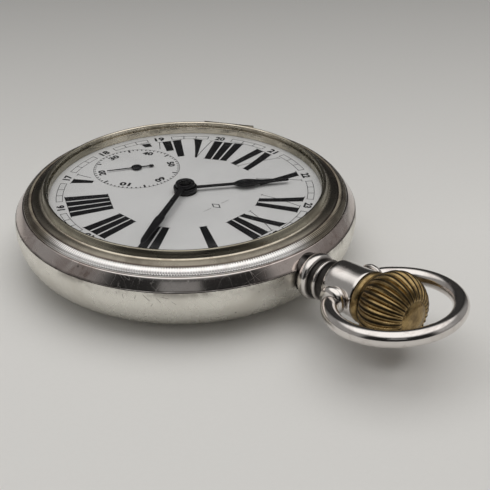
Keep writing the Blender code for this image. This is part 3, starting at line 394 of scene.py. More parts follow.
def crown_brass():
    mat = Mat("crown_brass", colour=(0.5, 0.38, 0.2), rough=0.32)
    above = mat.minus(mat.z, PENDANT_Z)
    radius = mat.length(mat.x, above)
    angle = mat.math("ARCTAN2", above, mat.x)
    wave = mat.math("COSINE", mat.scaled(angle, by=float(CROWN_RIBS)))
    body = mat.times(mat.rise(mat.y, start=38.9, end=39.5), mat.rise(radius, start=2.3, end=2.9))
    patina = mat.patches(start=0.42, end=0.66, scale=420, detail=5, rough=0.65)
    colour = mat.mix(patina, base=(0.40, 0.285, 0.13), over=(0.20, 0.135, 0.06))
    specks = mat.patches(start=0.5, end=0.75, scale=1600, rough=0.6)
    colour = mat.mix(specks, colour, over=(0.12, 0.085, 0.045), share=0.4)
    # painted shade: dark stripes, as many as the ribs, and a dark ring round the waist
    stripe_shade = mat.times(mat.rise(wave, start=-0.2, end=-0.85), body)
    waist_shade = mat.times(mat.fall(mat.gap(mat.y, centre=38.72), start=0.12, end=0.3),
                      mat.rise(radius, start=4.2, end=3.9))
    dark = mat.larger(mat.scaled(stripe_shade, by=0.93), mat.scaled(waist_shade, by=0.9))
    colour = mat.mix(dark, colour, over=(0.018, 0.013, 0.008))
    rough = mat.add(mat.scaled(patina, by=0.12, plus=0.27), mat.scaled(stripe_shade, by=0.3))
    height = mat.add(mat.noise(scale=1100, detail=4, rough=0.6),
                     mat.scaled(mat.noise(scale=300), by=0.6))
    mat.finish(colour, rough, height, strength=0.35, distance=0.00004)
    return mat


# ------------------------------------------------------------------ dial materials
def enamel():
    mat = Mat("dial_enamel", colour=(0.68, 0.68, 0.675), rough=0.12, metal=0.0)
    grain = mat.patches(start=0.60, end=0.74, scale=2600, detail=2, rough=0.7)
    colour = mat.mix(mat.patches(start=0.3, end=0.7, scale=60, rough=0.5),
                     base=(0.72, 0.72, 0.715), over=(0.76, 0.76, 0.755))
    colour = mat.mix(grain, colour, over=(0.56, 0.55, 0.53), share=0.25)
    mat.set("Coat Weight", 0.2)
    mat.set("Coat Roughness", 0.04)
    rough = mat.scaled(mat.noise(scale=300, detail=2), by=0.06, plus=0.12)
    mat.finish(colour, rough, mat.noise(scale=160, detail=2), strength=0.05)
    return mat


def ink():
    mat = Mat("dial_print", colour=(0.012, 0.012, 0.014), rough=0.4, metal=0.0)
    mat.set("Specular IOR Level", 0.12)
    mat.finish(mat.mix(mat.noise(scale=900), base=(0.003, 0.003, 0.004),
                       over=(0.009, 0.009, 0.010)),
               mat.scaled(mat.noise(scale=500, detail=2), by=0.1, plus=0.4))
    return mat


def hand_black():
    mat = Mat("hand_black", colour=(0.015, 0.015, 0.018), rough=0.28, metal=0.6)
    cloud = mat.noise(scale=700, detail=4, rough=0.6)
    mat.finish(mat.mix(cloud, base=(0.006, 0.006, 0.008), over=(0.02, 0.019, 0.021)),
               mat.scaled(cloud, by=0.16, plus=0.22), mat.noise(scale=1400), strength=0.15)
    return mat


def clear_crystal():
    """Glass as a thin reflecting film, seen through everywhere else."""
    mat = Mat("crystal_clear", colour=(1, 1, 1), rough=0.015)
    facing = mat.new("Fresnel")
    facing.inputs["IOR"].default_value = 1.5
    smear = mat.patches(start=0.35, end=0.75, low=0.06, high=0.12, scale=120, detail=4, rough=0.6)
    mat.set("Alpha", mat.times(facing.outputs[0], smear))
    mat.set("Roughness", mat.scaled(mat.noise(scale=400, detail=2), by=0.02, plus=0.008))
    mat.material.use_transparent_shadow = True
    mat.material.surface_render_method = "BLENDED"
    return mat


# ------------------------------------------------------------------ movement materials
def nickel(name, angle, step):
    """Nickel with straight waves across it, running at an angle and a step apart."""
    mat = Mat(name, colour=(0.70, 0.68, 0.63), rough=0.24)
    along = mat.add(mat.scaled(mat.x, by=math.cos(angle) / step),
                    mat.scaled(mat.y, by=math.sin(angle) / step))
    wave = mat.math("PINGPONG", along, 1.0)
    streaks = mat.vec(mat.scaled(mat.x, by=1.6), mat.scaled(mat.y, by=0.12), mat.z)
    grain = mat.noise(scale=60, detail=2, rough=0.5, vec=streaks)
    colour = mat.mix(mat.patches(start=0.35, end=0.7, scale=180, detail=4),
                     base=(0.74, 0.72, 0.67), over=(0.60, 0.57, 0.52))
    rough = mat.add(mat.scaled(wave, by=0.10, plus=0.18), mat.scaled(grain, by=0.10))
    squared = mat.math("POWER", wave, 2.0)
    height = mat.add(mat.scaled(squared, by=3.0), mat.scaled(grain, by=0.8))
    mat.finish(colour, rough, height, strength=0.35)
    return mat


def gilt():
    mat = Mat("gilt_brass", colour=(0.8, 0.6, 0.28), rough=0.26)
    cloud = mat.noise(scale=500, detail=4, rough=0.6)
    colour = mat.mix(cloud, base=(0.84, 0.64, 0.31), over=(0.66, 0.48, 0.21))
    # the pipes that come up through the dial are darkened like the hands
    black = mat.mix(cloud, base=(0.03, 0.03, 0.034), over=(0.075, 0.07, 0.07))
    mat.finish(mat.mix(mat.rise(mat.z, start=-0.35, end=-0.2), colour, black),
               mat.scaled(cloud, by=0.14, plus=0.18),
               mat.noise(scale=1800, detail=2), strength=0.12, distance=0.00001)
    return mat


def steel():
    base = (0.60, 0.60, 0.62)
    mat = Mat("steel_polished", colour=base, rough=0.16)
    cloud = mat.noise(scale=900, detail=4, rough=0.6)
    colour = mat.mix(cloud, base, over=tuple(channel * 0.78 for channel in base))
    # darkened where it shows at the middle of the dial
    centre = mat.times(mat.rise(mat.z, start=-0.2, end=-0.05),
                       mat.rise(mat.radius(), start=2.3, end=2.0))
    black = mat.mix(cloud, base=(0.035, 0.035, 0.04), over=(0.09, 0.085, 0.085))
    streaks = mat.vec(mat.scaled(mat.x, by=0.15), mat.scaled(mat.y, by=2.0), mat.z)
    mat.finish(mat.mix(centre, colour, black), mat.scaled(cloud, by=0.14, plus=0.12),
               mat.noise(scale=70, detail=2, rough=0.5, vec=streaks),
               strength=0.12, distance=0.00001)
    return mat


def blued_steel():
    mat = Mat("blued_steel", colour=(0.03, 0.05, 0.17), rough=0.2)
    cloud = mat.noise(scale=600, rough=0.6)
    mat.finish(mat.mix(cloud, base=(0.025, 0.05, 0.20), over=(0.05, 0.045, 0.12)),
               mat.scaled(cloud, by=0.12, plus=0.14))
    return mat


def ruby():
    mat = Mat("ruby_jewel", colour=(0.5, 0.02, 0.08), rough=0.06, metal=0.0)
    mat.set("Coat Weight", 0.6)
    mat.finish(mat.mix(mat.noise(scale=900, detail=2), base=(0.55, 0.02, 0.09),
                       over=(0.38, 0.01, 0.06)),
               mat.scaled(mat.noise(scale=600, detail=2), by=0.05, plus=0.05))
    return mat


def ratchet_steel():
    """Steel whose tone changes slowly across a wheel and faster through its height."""
    mat = Mat("ratchet_steel", colour=(0.62, 0.61, 0.60), rough=0.2)
    stretched = mat.vec(mat.scaled(mat.x, by=0.2), mat.scaled(mat.y, by=0.2),
                        mat.scaled(mat.z, by=2.0))
    tone = mat.noise(scale=40, detail=2, rough=0.5, vec=stretched)
    mat.finish(mat.mix(tone, base=(0.66, 0.65, 0.64), over=(0.5, 0.49, 0.48)),
               mat.scaled(mat.noise(scale=800), by=0.12, plus=0.15),
               mat.noise(scale=1500, detail=2), strength=0.15, distance=0.00001)
    return mat


BAND = silver_band()
BACK = silver_back()
BOW = silver_wire("bow_silver", grooves=False)
PENDANT = silver_wire("pendant_silver", grooves=True)
BEZEL = bezel_metal()
CROWN = crown_brass()
ENAMEL = enamel()
INK = ink()
HAND = hand_black()
GLASS = clear_crystal()
PLATE = nickel("plate_nickel", angle=1.57, step=2.2)
BRIDGE = nickel("bridge_nickel", angle=0.6, step=1.5)
COCK = nickel("cock_nickel", angle=0.6, step=1.4)
GILT = gilt()
STEEL = steel()
BLUED = blued_steel()
RUBY = ruby()
RATCHET = ratchet_steel()


# ------------------------------------------------------------------ mesh helpers
# A shape is a pair: points in millimetres, and faces as tuples of point numbers.
def build_mesh(name, shape, weld=True, clean=True):
    verts, faces = shape
    verts = np.asarray(verts, float).reshape(-1, 3)
    points = (verts + np.array([0, 0, DEPTH])) / 1000.0
    mesh = bpy.data.meshes.new(name)
    mesh.from_pydata([tuple(point) for point in points], [], faces)
    edit = bmesh.new()
    edit.from_mesh(mesh)
    if weld:
        bmesh.ops.remove_doubles(edit, verts=edit.verts, dist=1e-8)
    if clean:
        bmesh.ops.dissolve_degenerate(edit, dist=1e-9, edges=edit.edges)
    bmesh.ops.recalc_face_normals(edit, faces=edit.faces)
    edit.to_mesh(mesh)
    edit.free()
    return mesh


def link_object(name, data):
    obj = bpy.data.objects.new(name, data)
    bpy.context.scene.collection.objects.link(obj)
    return obj


def evaluated_mesh(obj):
    bpy.context.view_layer.update()
    depsgraph = bpy.context.evaluated_depsgraph_get()
    return bpy.data.meshes.new_from_object(obj.evaluated_get(depsgraph))


def shade(mesh, sharp):
    """Smooth shading, with edges above an angle in degrees kept sharp."""
    mesh.shade_smooth()
    mesh.set_sharp_from_angle(angle=math.radians(sharp))


def part(name, shape, mat, body, replaces=None, sharp=32.0, weld=True):
    """Finished piece riding on a body of the frame."""
    mesh = build_mesh(name, shape, weld, clean=weld)
    mesh.materials.append(mat.material)
    shade(mesh, sharp)
    obj = link_object(name, mesh)
    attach(obj, body)
    if replaces:
        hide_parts(replaces)
    return obj


def fillet(points, radius, steps=4, closed=True):
    """Rounds the corners of a profile; radius is one number or one for each point."""
    out = []
    count = len(points)
    for i, point in enumerate(points):
        size = radius[i] if isinstance(radius, list) else radius
        if (not closed and i in (0, count - 1)) or size <= 0:
            out.append(tuple(point))
            continue
        corner = np.array(point, float)
        before = np.array(points[i - 1], float)
        after = np.array(points[(i + 1) % count], float)
        len_before, len_after = np.linalg.norm(before - corner), np.linalg.norm(after - corner)
        cut = min(size, 0.46 * len_before, 0.46 * len_after)
        start = corner + (before - corner) / len_before * cut
        end = corner + (after - corner) / len_after * cut
        for k in range(steps + 1):
            t = k / steps
            out.append(tuple((1 - t) ** 2 * start + 2 * t * (1 - t) * corner + t * t * end))
    return out


def smooth_curve(points, per=4):
    """Catmull-Rom through open points, with a number of steps per interval."""
    padded = [points[0]] + list(points) + [points[-1]]
    out = []
    for i in range(1, len(padded) - 2):
        p0, p1, p2, p3 = (np.array(point, float) for point in padded[i - 1:i + 3])
        for k in range(per):
            t = k / per
            out.append(tuple(0.5 * (
                (2 * p1) + (p2 - p0) * t + (2 * p0 - 5 * p1 + 4 * p2 - p3) * t * t
                + (3 * p1 - p0 - 3 * p2 + p3) * t ** 3)))
    out.append(tuple(points[-1]))
    return out


def revolve(profile, segments=288, closed=True, change=None):
    """Turns a profile of (radius, height) about Z; change() gives an offset of the radius."""
    rows = np.array(profile, float)
    turn = np.arange(segments) * 2 * math.pi / segments
    radius = np.repeat(rows[None, :, 0], segments, 0)
    if change is not None:
        radius = radius + change(turn[:, None], rows[None, :, 0], rows[None, :, 1])
    height = np.repeat(rows[None, :, 1], segments, 0)
    verts = np.stack([radius * np.cos(turn)[:, None], radius * np.sin(turn)[:, None], height], 2)
    count = len(rows)
    faces = []
    for i in range(segments):
        i2 = (i + 1) % segments
        for j in range(count if closed else count - 1):
            j2 = (j + 1) % count
            faces.append((i * count + j, i2 * count + j, i2 * count + j2, i * count + j2))
    return verts.reshape(-1, 3), faces


def about_pendant(shape):
    """Lays a shape turned about Z along the pendant's axis: its height becomes y."""
    verts, faces = shape
    return np.stack([verts[:, 0], verts[:, 2], -verts[:, 1] + PENDANT_Z], 1), faces


def sideways(shape, side, y=0.0, z=0.0):
    """Lays a shape turned about Z along the x axis, pointing to one side."""
    verts, faces = shape
    return np.stack([side * verts[:, 2], y + verts[:, 0], z + verts[:, 1]], 1), faces


def clock_point(angle, radius, across=0.0, centre=(0.0, 0.0)):
    """Point at a clock angle, moved clockwise across the radius."""
    angle = math.radians(angle)
    sine, cosine = math.sin(angle), math.cos(angle)
    return (centre[0] + radius * sine + across * cosine,
            centre[1] + radius * cosine - across * sine)


def capped_rod(start, end, radius, segments=32, soft=0.06):
    """Level rod between two points with softened ends."""
    start, end = np.array(start, float), np.array(end, float)
    length = np.linalg.norm(end - start)
    along = (end - start) / length
    level = np.cross(along, [0.0, 0.0, 1.0])
    level /= np.linalg.norm(level)
    upright = np.cross(along, level)
    profile = [(0.0, 0.0), (radius, 0.0), (radius, length), (0.0, length)]
    verts, faces = revolve(fillet(profile, soft, 3, closed=False), segments, closed=False)
    return start + verts[:, :1] * level + verts[:, 1:2] * upright + verts[:, 2:] * along, faces


def merge(*shapes):
    verts, faces, base = [], [], 0
    for points, polygons in shapes:
        points = np.asarray(points).reshape(-1, 3)
        verts.append(points)
        faces += [tuple(i + base for i in polygon) for polygon in polygons]
        base += len(points)
    return np.concatenate(verts), faces


def hinge_rod(hinge, start, end, radius, soft):
    """Rod on a hinge's axis between two distances from its middle."""
    out, z, _ = hinge
    ends = [(*clock_point(HINGE_CLOCK, out, along), z) for along in (start, end)]
    return capped_rod(*ends, radius, soft=soft)


def knuckles(hinge, *spans):
    return merge(*[hinge_rod(hinge, *span, hinge[2], soft=0.06) for span in spans])


def cutter(shape):
    return link_object("cutter", build_mesh("cutter", shape, clean=False))


def hinge_cutter(hinge, start, end, radius):
    return cutter(hinge_rod(hinge, start, end, radius, soft=0.0))


def neck_cutter(start, radius):
    """Cuts the way for the pendant's neck, outwards from a given y."""
    z = PENDANT_Z - NECK_DROP
    return cutter(capped_rod((0, start, z), (0, 30, z), radius, 64, soft=0.0))


def carve(obj, *cutters):
    """Boolean cut of a finished piece; the cutters are removed."""
    for tool in cutters:
        cut = obj.modifiers.new("Cut", "BOOLEAN")
        cut.operation = "DIFFERENCE"
        cut.solver = "EXACT"
        cut.object = tool
    mesh = evaluated_mesh(obj)
    obj.modifiers.clear()
    obj.data = mesh
    shade(mesh, 32)
    for tool in cutters:
        bpy.data.objects.remove(tool, do_unlink=True)


# ------------------------------------------------------------------ case middle
# radius, height, corner rounding
BAND_PROFILE = (
    (23.7, -0.62, 0.05), (24.9, -0.60, 0.05), (25.20, -0.58, 0.12), (25.52, -1.01, 0.5),
    (25.82, -1.46, 0.5), (26.10, -1.91, 0.5), (26.32, -2.27, 0.08), (26.40, -2.34, 0.05),
    (25.45, -2.36, 0.03), (25.35, -3.2, 0.05), (23.0, -3.2, 0.05), (23.0, -4.6, 0.05),
    (21.5, -4.6, 0.05), (21.5, -3.75, 0.05), (22.3, -3.75, 0.05), (22.3, -0.14, 0.05),
    (23.7, -0.14, 0.05),
)
band = fillet([row[:2] for row in BAND_PROFILE], [row[2] for row in BAND_PROFILE])
case = part("case_middle_fine", revolve(band), BAND, "case", replaces="case_middle")
# the first knuckles take the bezel's metal, whose rim colour paints them dark with painted shade
for number, (material, hinge, *spans) in enumerate((
    (BEZEL, BEZEL_HINGE, (1.7, 4.3), (-4.3, -1.7)),
    (BAND, BACK_HINGE, (-2.2, 2.2)),
    (BAND, DUST_HINGE, (1.5, 3.6), (-3.6, -1.5)),
), start=1):
    part(f"case_knuckle_{number}", knuckles(hinge, *spans), material, "case")
# room for the pendant and for the knuckles of the three lids
carve(case, neck_cutter(start=25.6, radius=2.96),
      hinge_cutter(BEZEL_HINGE, -1.65, 1.65, radius=0.8),
      hinge_cutter(BACK_HINGE, 2.25, 5.4, radius=0.74),
      hinge_cutter(BACK_HINGE, -5.4, -2.25, radius=0.74),
      hinge_cutter(DUST_HINGE, -1.5, 1.5, radius=0.64))

# ------------------------------------------------------------------ bezel
# radius, height, corner rounding
BEZEL_PROFILE = (
    (23.9, 0.30, 0.02), (23.9, -0.09, 0.03), (22.15, -0.07, 0.05), (22.15, 0.04, 0.04),
    (21.12, 0.04, 0.04), (21.17, 1.1, 0.06), (21.6, 1.16, 0.02), (21.6, 1.5, 0.02),
    (21.36, 1.58, 0.04), (21.36, 1.8, 0.12), (21.58, 1.94, 0.16), (21.84, 1.88, 0.2),
    (22.08, 1.42, 0.4), (22.26, 0.84, 0.12), (22.42, 0.74, 0.1), (23.0, 0.62, 0.5),
    (23.44, 0.45, 0.3), (23.68, 0.30, 0.04),
)
# radius, height: the rim's rounded top, then its underside
RIM_TOP = [
    (23.74, 0.22), (23.78, 0.36), (23.88, 0.41), (24.06, 0.38), (24.32, 0.26),
    (24.58, 0.10), (24.80, -0.10), (24.95, -0.28), (25.02, -0.42), (25.02, -0.53),
]
RIM_UNDER = [(24.98, -0.58), (23.80, -0.58), (23.76, -0.10), (23.72, 0.10)]
RIM_NOTCHES = 400
NOTCH_DEPTH = 0.34
HINGE_LIMIT, FREE_LIMIT = 24.12, 25.3    # largest rim radius at the hinge and away from it


def reeded(shape):
    """Notches filed across the sloping rim, which is cut back where the hinge sits."""
    verts, faces = shape
    x, y, z = verts.T
    turn, radius = np.arctan2(x, y), np.hypot(x, y)
    tooth = np.abs(((turn * RIM_NOTCHES / (2 * math.pi)) % 1.0) * 2 - 1)
    # only the top is notched, deepest at its inner edge
    top = np.clip((z + 0.5 - (radius - 23.74) * 0.1) / 0.3, 0, 1)
    top = top * np.clip((radius - 23.76) / 0.05, 0, 1)
    edge = np.clip(np.abs(radius - 24.3) / 0.5, 0, 1) ** 1.6
    edge = 0.04 + 0.96 * edge * np.where(radius > 24.3, 0.3, 1.0)
    cut = NOTCH_DEPTH * (1 - np.clip(tooth * 1.35, 0, 1)) * top * edge
    radius, z = radius - cut * 0.6, z - cut * 0.85
    from_hinge = np.abs((np.degrees(turn) - HINGE_CLOCK + 180) % 360 - 180)
    limit = np.clip((from_hinge - 13.0) / 3.0, 0, 1)
    limit = HINGE_LIMIT + (FREE_LIMIT - HINGE_LIMIT) * limit
    floor_z = -0.10 - 0.45 * np.clip((limit - HINGE_LIMIT) / 0.9, 0, 1)
    z = np.where(radius > limit, np.maximum(z, floor_z), z)
    radius = np.minimum(radius, limit)
    return np.stack([radius * np.sin(turn), radius * np.cos(turn), z], 1), faces


bezel = fillet([row[:2] for row in BEZEL_PROFILE], [row[2] for row in BEZEL_PROFILE])
part("bezel_fine", revolve(bezel, 480), BEZEL, "front", replaces="bezel", sharp=38)
rim_shape = revolve(smooth_curve(RIM_TOP, per=2) + RIM_UNDER, 2400)
part("bezel_reeded_rim", reeded(rim_shape), BEZEL, "front", sharp=60)
part("bezel_knuckle", knuckles(BEZEL_HINGE, (-1.6, 1.6)), BEZEL, "front")

# ------------------------------------------------------------------ crystal
# radius, height: out along the top, back along the underside
DOME = [
    (0.0, 2.62), (4, 2.60), (8, 2.535), (12, 2.41), (15, 2.26), (18, 2.03), (20, 1.80),
    (21.2, 1.60), (21.56, 1.46),
    (21.56, 1.22), (21.1, 1.22), (20, 1.44), (18, 1.66), (15, 1.88), (12, 2.02), (8, 2.13),
    (4, 2.185), (0.0, 2.2),
]
part("crystal_fine", revolve(DOME, 192, closed=False), GLASS, "front",
     replaces="crystal", sharp=50)

# ------------------------------------------------------------------ back covers
# radius, height: the outer cover's outside from the seam down, then its inside
BACK_OUTSIDE = [
    (26.42, -2.42), (26.5, -3.1), (26.52, -3.8), (26.42, -4.9), (26.1, -6.1), (25.5, -7.4),
    (24.5, -8.6), (22.9, -9.65), (21.0, -10.28), (18.6, -10.66), (16.4, -10.84), (14.6, -DEPTH),
]
BACK_INSIDE = [
    (7.0, -DEPTH), (0.0, -DEPTH), (0.0, -10.35), (7.0, -10.35), (15.0, -10.35), (19.3, -10.02),
    (22.45, -9.27), (24.5, -7.6), (25.82, -5.0), (25.9, -3.6), (25.62, -2.46), (25.95, -2.38),
]
back = part("back_cover_fine", revolve(smooth_curve(BACK_OUTSIDE, per=3) + BACK_INSIDE),
            BACK, "back", replaces="back_cover")
carve(back, neck_cutter(start=24.9, radius=3.0), hinge_cutter(BACK_HINGE, -2.3, 2.3, radius=0.95))
part("back_knuckle", knuckles(BACK_HINGE, (2.3, 5.2), (-5.2, -2.3)), BACK, "back")

# radius, height of the inner cover
DUST_PROFILE = [
    (23.75, -4.70), (23.78, -5.6), (23.2, -7.0), (21.9, -8.35), (20.0, -8.98), (17.0, -9.38),
    (10.0, -9.56), (0.0, -9.6), (0.0, -9.25), (10.0, -9.2), (16.8, -9.05), (19.6, -8.7),
    (21.5, -8.05), (22.8, -6.8), (23.3, -5.0), (22.6, -4.98), (22.6, -4.70),
]
part("dust_cover_fine", revolve(fillet(DUST_PROFILE, 0.25, closed=False), 192), BACK,
     "inner_back", replaces="dust_cover")
part("dust_knuckle", knuckles(DUST_HINGE, (-1.4, 1.4)), BACK, "inner_back")

# ------------------------------------------------------------------ pendant
PIVOT_Y = 34.6           # where the bow is held
# y, radius: two beads next to the case, then the long barrel
FIRST_BEAD = [
    (26.82, 2.92), (26.92, 3.15), (27.1, 3.36), (27.4, 3.5), (27.75, 3.55), (28.1, 3.52),
    (28.38, 3.38), (28.52, 3.15), (28.58, 2.88),
]
SECOND_BEAD = [
    (29.26, 2.88), (29.38, 3.02), (29.56, 3.12), (29.75, 3.15), (29.92, 3.1), (30.06, 2.96),
    (30.12, 2.76),
]
BARREL = [
    (31.42, 2.8), (31.46, 3.12), (31.6, 3.32), (31.95, 3.44), (32.6, 3.5), (33.8, 3.55),
    (35.2, 3.61), (36.4, 3.69), (37.0, 3.72), (37.24, 3.66),
]
NECK_START, NECK_END, BORE = 24.35, 37.3, 1.6
# radius, distance from the axis of the dish in which each end of the bow sits
DISH = [(0.0, 2.6), (1.72, 2.6), (1.75, 3.5), (1.70, 3.84), (1.5, 3.88), (0.0, 3.86)]


def drooped(shape):
    """Lowers the beads next to the case a little below the axis of the bore."""
    verts, faces = shape
    rise = np.clip((verts[:, 1] - 28.5) / 4, 0, 1)
    outside = np.hypot(verts[:, 0], verts[:, 2] - PENDANT_Z) > 2.0
    verts[:, 2] -= np.where(outside, NECK_DROP * (1 - rise * rise * (3 - 2 * rise)), 0)
    return verts, faces


neck = [
    (NECK_START, 2.9), (26.7, 2.9), *smooth_curve(FIRST_BEAD),
    (29.15, 2.86), *smooth_curve(SECOND_BEAD),
    (31.25, 2.75), *smooth_curve(BARREL),
    (NECK_END, 3.5), (NECK_END, BORE), (NECK_START, BORE),
]
neck_shape = drooped(about_pendant(revolve([(radius, y) for y, radius in neck], 160)))
dish_shape = revolve(fillet(DISH, 0.1, 3, closed=False), 56, closed=False)
dishes = [sideways(dish_shape, side, PIVOT_Y, PENDANT_Z) for side in (1, -1)]
part("pendant_fine", merge(neck_shape, *dishes), PENDANT, "case",
     replaces="pendant", sharp=40)

# ------------------------------------------------------------------ crown
# radius, y: the collar, the swelling body, then the button and the bore
CROWN_COLLAR = [
    (3.3, 37.5), (3.84, 37.5), (3.93, 37.95), (3.84, 38.4), (3.62, 38.55), (3.62, 38.85),
    (4.0, 39.05),
]
CROWN_BODY = [
    (4.25, 39.25), (4.62, 39.7), (4.98, 40.25), (5.28, 40.9), (5.44, 41.6), (5.48, 42.3),
    (5.38, 42.95), (5.14, 43.6), (4.78, 44.3), (4.3, 44.95), (3.72, 45.45), (3.1, 45.75),
]
CROWN_END = [
    (2.75, 45.8), (2.5, 45.72), (2.35, 45.85), (2.2, 46.02), (1.2, 46.05), (0.0, 46.05),
    (0.0, 44.0), (0.0, 40.5), (1.0, 40.3), (1.0, 37.5),
]
FLUTE_DEPTH = 0.46


def flutes(turn, radius, y):
    """Rounded ribs with narrow grooves, fading out at both ends."""
    body = np.clip((y - 39.1) / 0.5, 0, 1) * np.clip((radius - 2.5) / 1.1, 0, 1)
    wave = np.abs(np.sin(turn * (CROWN_RIBS // 2)))
    return -FLUTE_DEPTH * body * (1 - wave ** 0.55)


crown = fillet(CROWN_COLLAR, 0.12, 3, closed=False) + smooth_curve(CROWN_BODY) + CROWN_END
part("crown_fine", about_pendant(revolve(crown, CROWN_RIBS * 14, change=flutes)), CROWN,
     "crown_and_stem", replaces="crown", sharp=50)

# ------------------------------------------------------------------ bow
BOW_OUT = 7.8            # from the pivot to the centre of the ring
BOW_RADIUS = 9.07
WIRE_RADIUS = 1.2
BOW_TILT = math.radians(4.5)
BOW_STEPS = 168
WIRE_SEGMENTS = 40
# radius, distance from the axis, corner rounding of the domed button the wire grows from
BUTTON = (
    (0.0, 3.97, 0), (2.0, 3.97, 0.1), (2.14, 4.1, 0.12), (2.12, 4.45, 0.3),
    (1.86, 4.86, 0.4), (1.3, 5.08, 0.5), (0.0, 5.15, 0),
)


def tube(path, radii):
    """Round tube along a path with a radius at each point, closed at both ends."""
    path = np.array(path, float)
    count = WIRE_SEGMENTS
    tangents = np.gradient(path, axis=0)
    tangents /= np.linalg.norm(tangents, axis=1)[:, None]
    verts = []
    for point, tangent, radius in zip(path, tangents, radii):
        level = np.cross(tangent, [0.0, 0.0, 1.0])
        level /= np.linalg.norm(level)
        upright = np.cross(level, tangent)
        for k in range(count):
            angle = 2 * math.pi * k / count
            verts.append(point + radius * (math.cos(angle) * level + math.sin(angle) * upright))
    last = (len(path) - 1) * count
    faces = []
    for base in range(0, last, count):
        for k in range(count):
            k2 = (k + 1) % count
            faces.append((base + k, base + k2, base + count + k2, base + count + k))
    faces.append(tuple(range(count))[::-1])
    faces.append(tuple(last + k for k in range(count)))
    return np.array(verts), faces


def bow_wire():
    """Open ring about the pivot, its wire thinner at the two ends."""
    start = math.acos(BOW_OUT / BOW_RADIUS) - math.radians(1)
    path, radii = [], []
    for i in range(BOW_STEPS + 1):
        angle = start + (2 * math.pi - 2 * start) * i / BOW_STEPS
        path.append((BOW_RADIUS * math.sin(angle), BOW_OUT - BOW_RADIUS * math.cos(angle), 0.0))
        from_end = min(angle - start, 2 * math.pi - start - angle) * BOW_RADIUS
        radii.append(WIRE_RADIUS * (0.72 + 0.28 * min(1.0, from_end / 0.75) ** 0.7)
                     + 0.05 * math.exp(-((from_end - 1.8) / 1.1) ** 2))
    return tube(path, radii)


button = fillet([row[:2] for row in BUTTON], [row[2] for row in BUTTON], 6, closed=False)
button_shape = revolve(button, 72, closed=False)
bow_shapes = [bow_wire()]
for side in (1, -1):
    bow_shapes.append(sideways(button_shape, side))
    bow_shapes.append(capped_rod((side * 3.0, 0, 0), (side * 4.2, 0, 0), 0.7))
bow_verts, bow_faces = merge(*bow_shapes)
x, y, z = bow_verts.T
tilted = np.stack([x, PIVOT_Y + y * math.cos(BOW_TILT) - z * math.sin(BOW_TILT),
                   PENDANT_Z + y * math.sin(BOW_TILT) + z * math.cos(BOW_TILT)], 1)
part("bow_fine", (tilted, bow_faces), BOW, "bow_ring", replaces="bow", sharp=50)


# ------------------------------------------------------------------ dial printing
PRINT_Z = 0.012
DIGIT_WEIGHT = 0.045     # thickening of the digits, as a share of their size


class Print:
    """Flat shapes just above the enamel, gathered in one mesh."""

    def __init__(self, centre=(0.0, 0.0)):
        self.verts, self.faces, self.centre = [], [], centre

    def strip(self, left, right):
        base = len(self.verts)
        for first, second in zip(left, right):
            self.verts += [(*first, PRINT_Z), (*second, PRINT_Z)]
        for k in range(base, base + 2 * len(left) - 2, 2):
            self.faces.append((k, k + 1, k + 3, k + 2))

    def poly(self, points):
        base = len(self.verts)
        self.verts += [(x, y, PRINT_Z) for x, y in points]
        self.faces.append(tuple(range(base, base + len(points))))

    def ring(self, inner, outer, start=0.0, end=360.0):
        steps = int((end - start) / 1.5)
        angles = [start + (end - start) * i / steps for i in range(steps + 1)]
        self.strip(*[[clock_point(angle, radius, centre=self.centre) for angle in angles]
                     for radius in (inner, outer)])

    def tick(self, angle, inner, outer, width):
        half = width / 2
        corners = ((inner, -half), (outer, -half), (outer, half), (inner, half))
        self.poly([clock_point(angle, *corner, self.centre) for corner in corners])

    def text(self, body, angle, radius, high, wide):
        """Digits fitted to a height and width, their feet towards the centre."""
        curve = bpy.data.curves.new("digits", "FONT")
        curve.body = body
        curve.size = 1.0
        curve.offset = DIGIT_WEIGHT
        curve.align_x = "CENTER"
        curve.resolution_u = 3
        obj = link_object("digits", curve)
        mesh = evaluated_mesh(obj)
        bpy.data.objects.remove(obj, do_unlink=True)
        points = np.array([vert.co[:2] for vert in mesh.vertices]).reshape(-1, 2)
        low, top = points.min(0), points.max(0)
        points = (points - (low + top) / 2) / (top - low) * (wide, high)
        base = len(self.verts)
        for across, out in points:
            self.verts.append((*clock_point(angle, radius + out, across, self.centre), PRINT_Z))
        self.faces += [tuple(base + k for k in face.vertices) for face in mesh.polygons]

    def make(self, name):
        part(name, (self.verts, self.faces), INK, "case", weld=False)


# ------------------------------------------------------------------ hour numerals
FOOT, HEAD = 11.8, 18.4          # radii between which the numerals stand
STROKE_CELLS = 44
BAR, HAIR, V_FOOT = 1.25, 0.11, 0.35     # stroke widths: thick, thin, and a V's foot
SERIF = 0.1                      # thickness of a serif
GLYPH_GAP = 0.27
GLYPH_WIDTHS = {"I": BAR, "V": 2.9, "X": 3.0}
BAR_HANG, LEAN_HANG, HAIR_HANG = 0.16, 0.2, 0.1  # how far serifs reach past their strokes
SECONDS_CLEAR = 7.6              # radius kept free of numerals round the small dial
HOURS = {1: "I", 2: "II", 3: "III", 4: "IIII", 5: "V", 7: "VII", 8: "VIII", 9: "IX", 10: "X",
         11: "XI", 12: "XII"}
numerals = Print()


def clear_of_seconds(points):
    centre_x, centre_y = SECONDS_CENTRE
    return all(math.hypot(x - centre_x, y - centre_y + 0.1) > SECONDS_CLEAR for x, y in points)


def spread(radius):
    """Numerals widen outwards."""
    return 0.86 + 0.28 * (radius - FOOT) / (HEAD - FOOT)


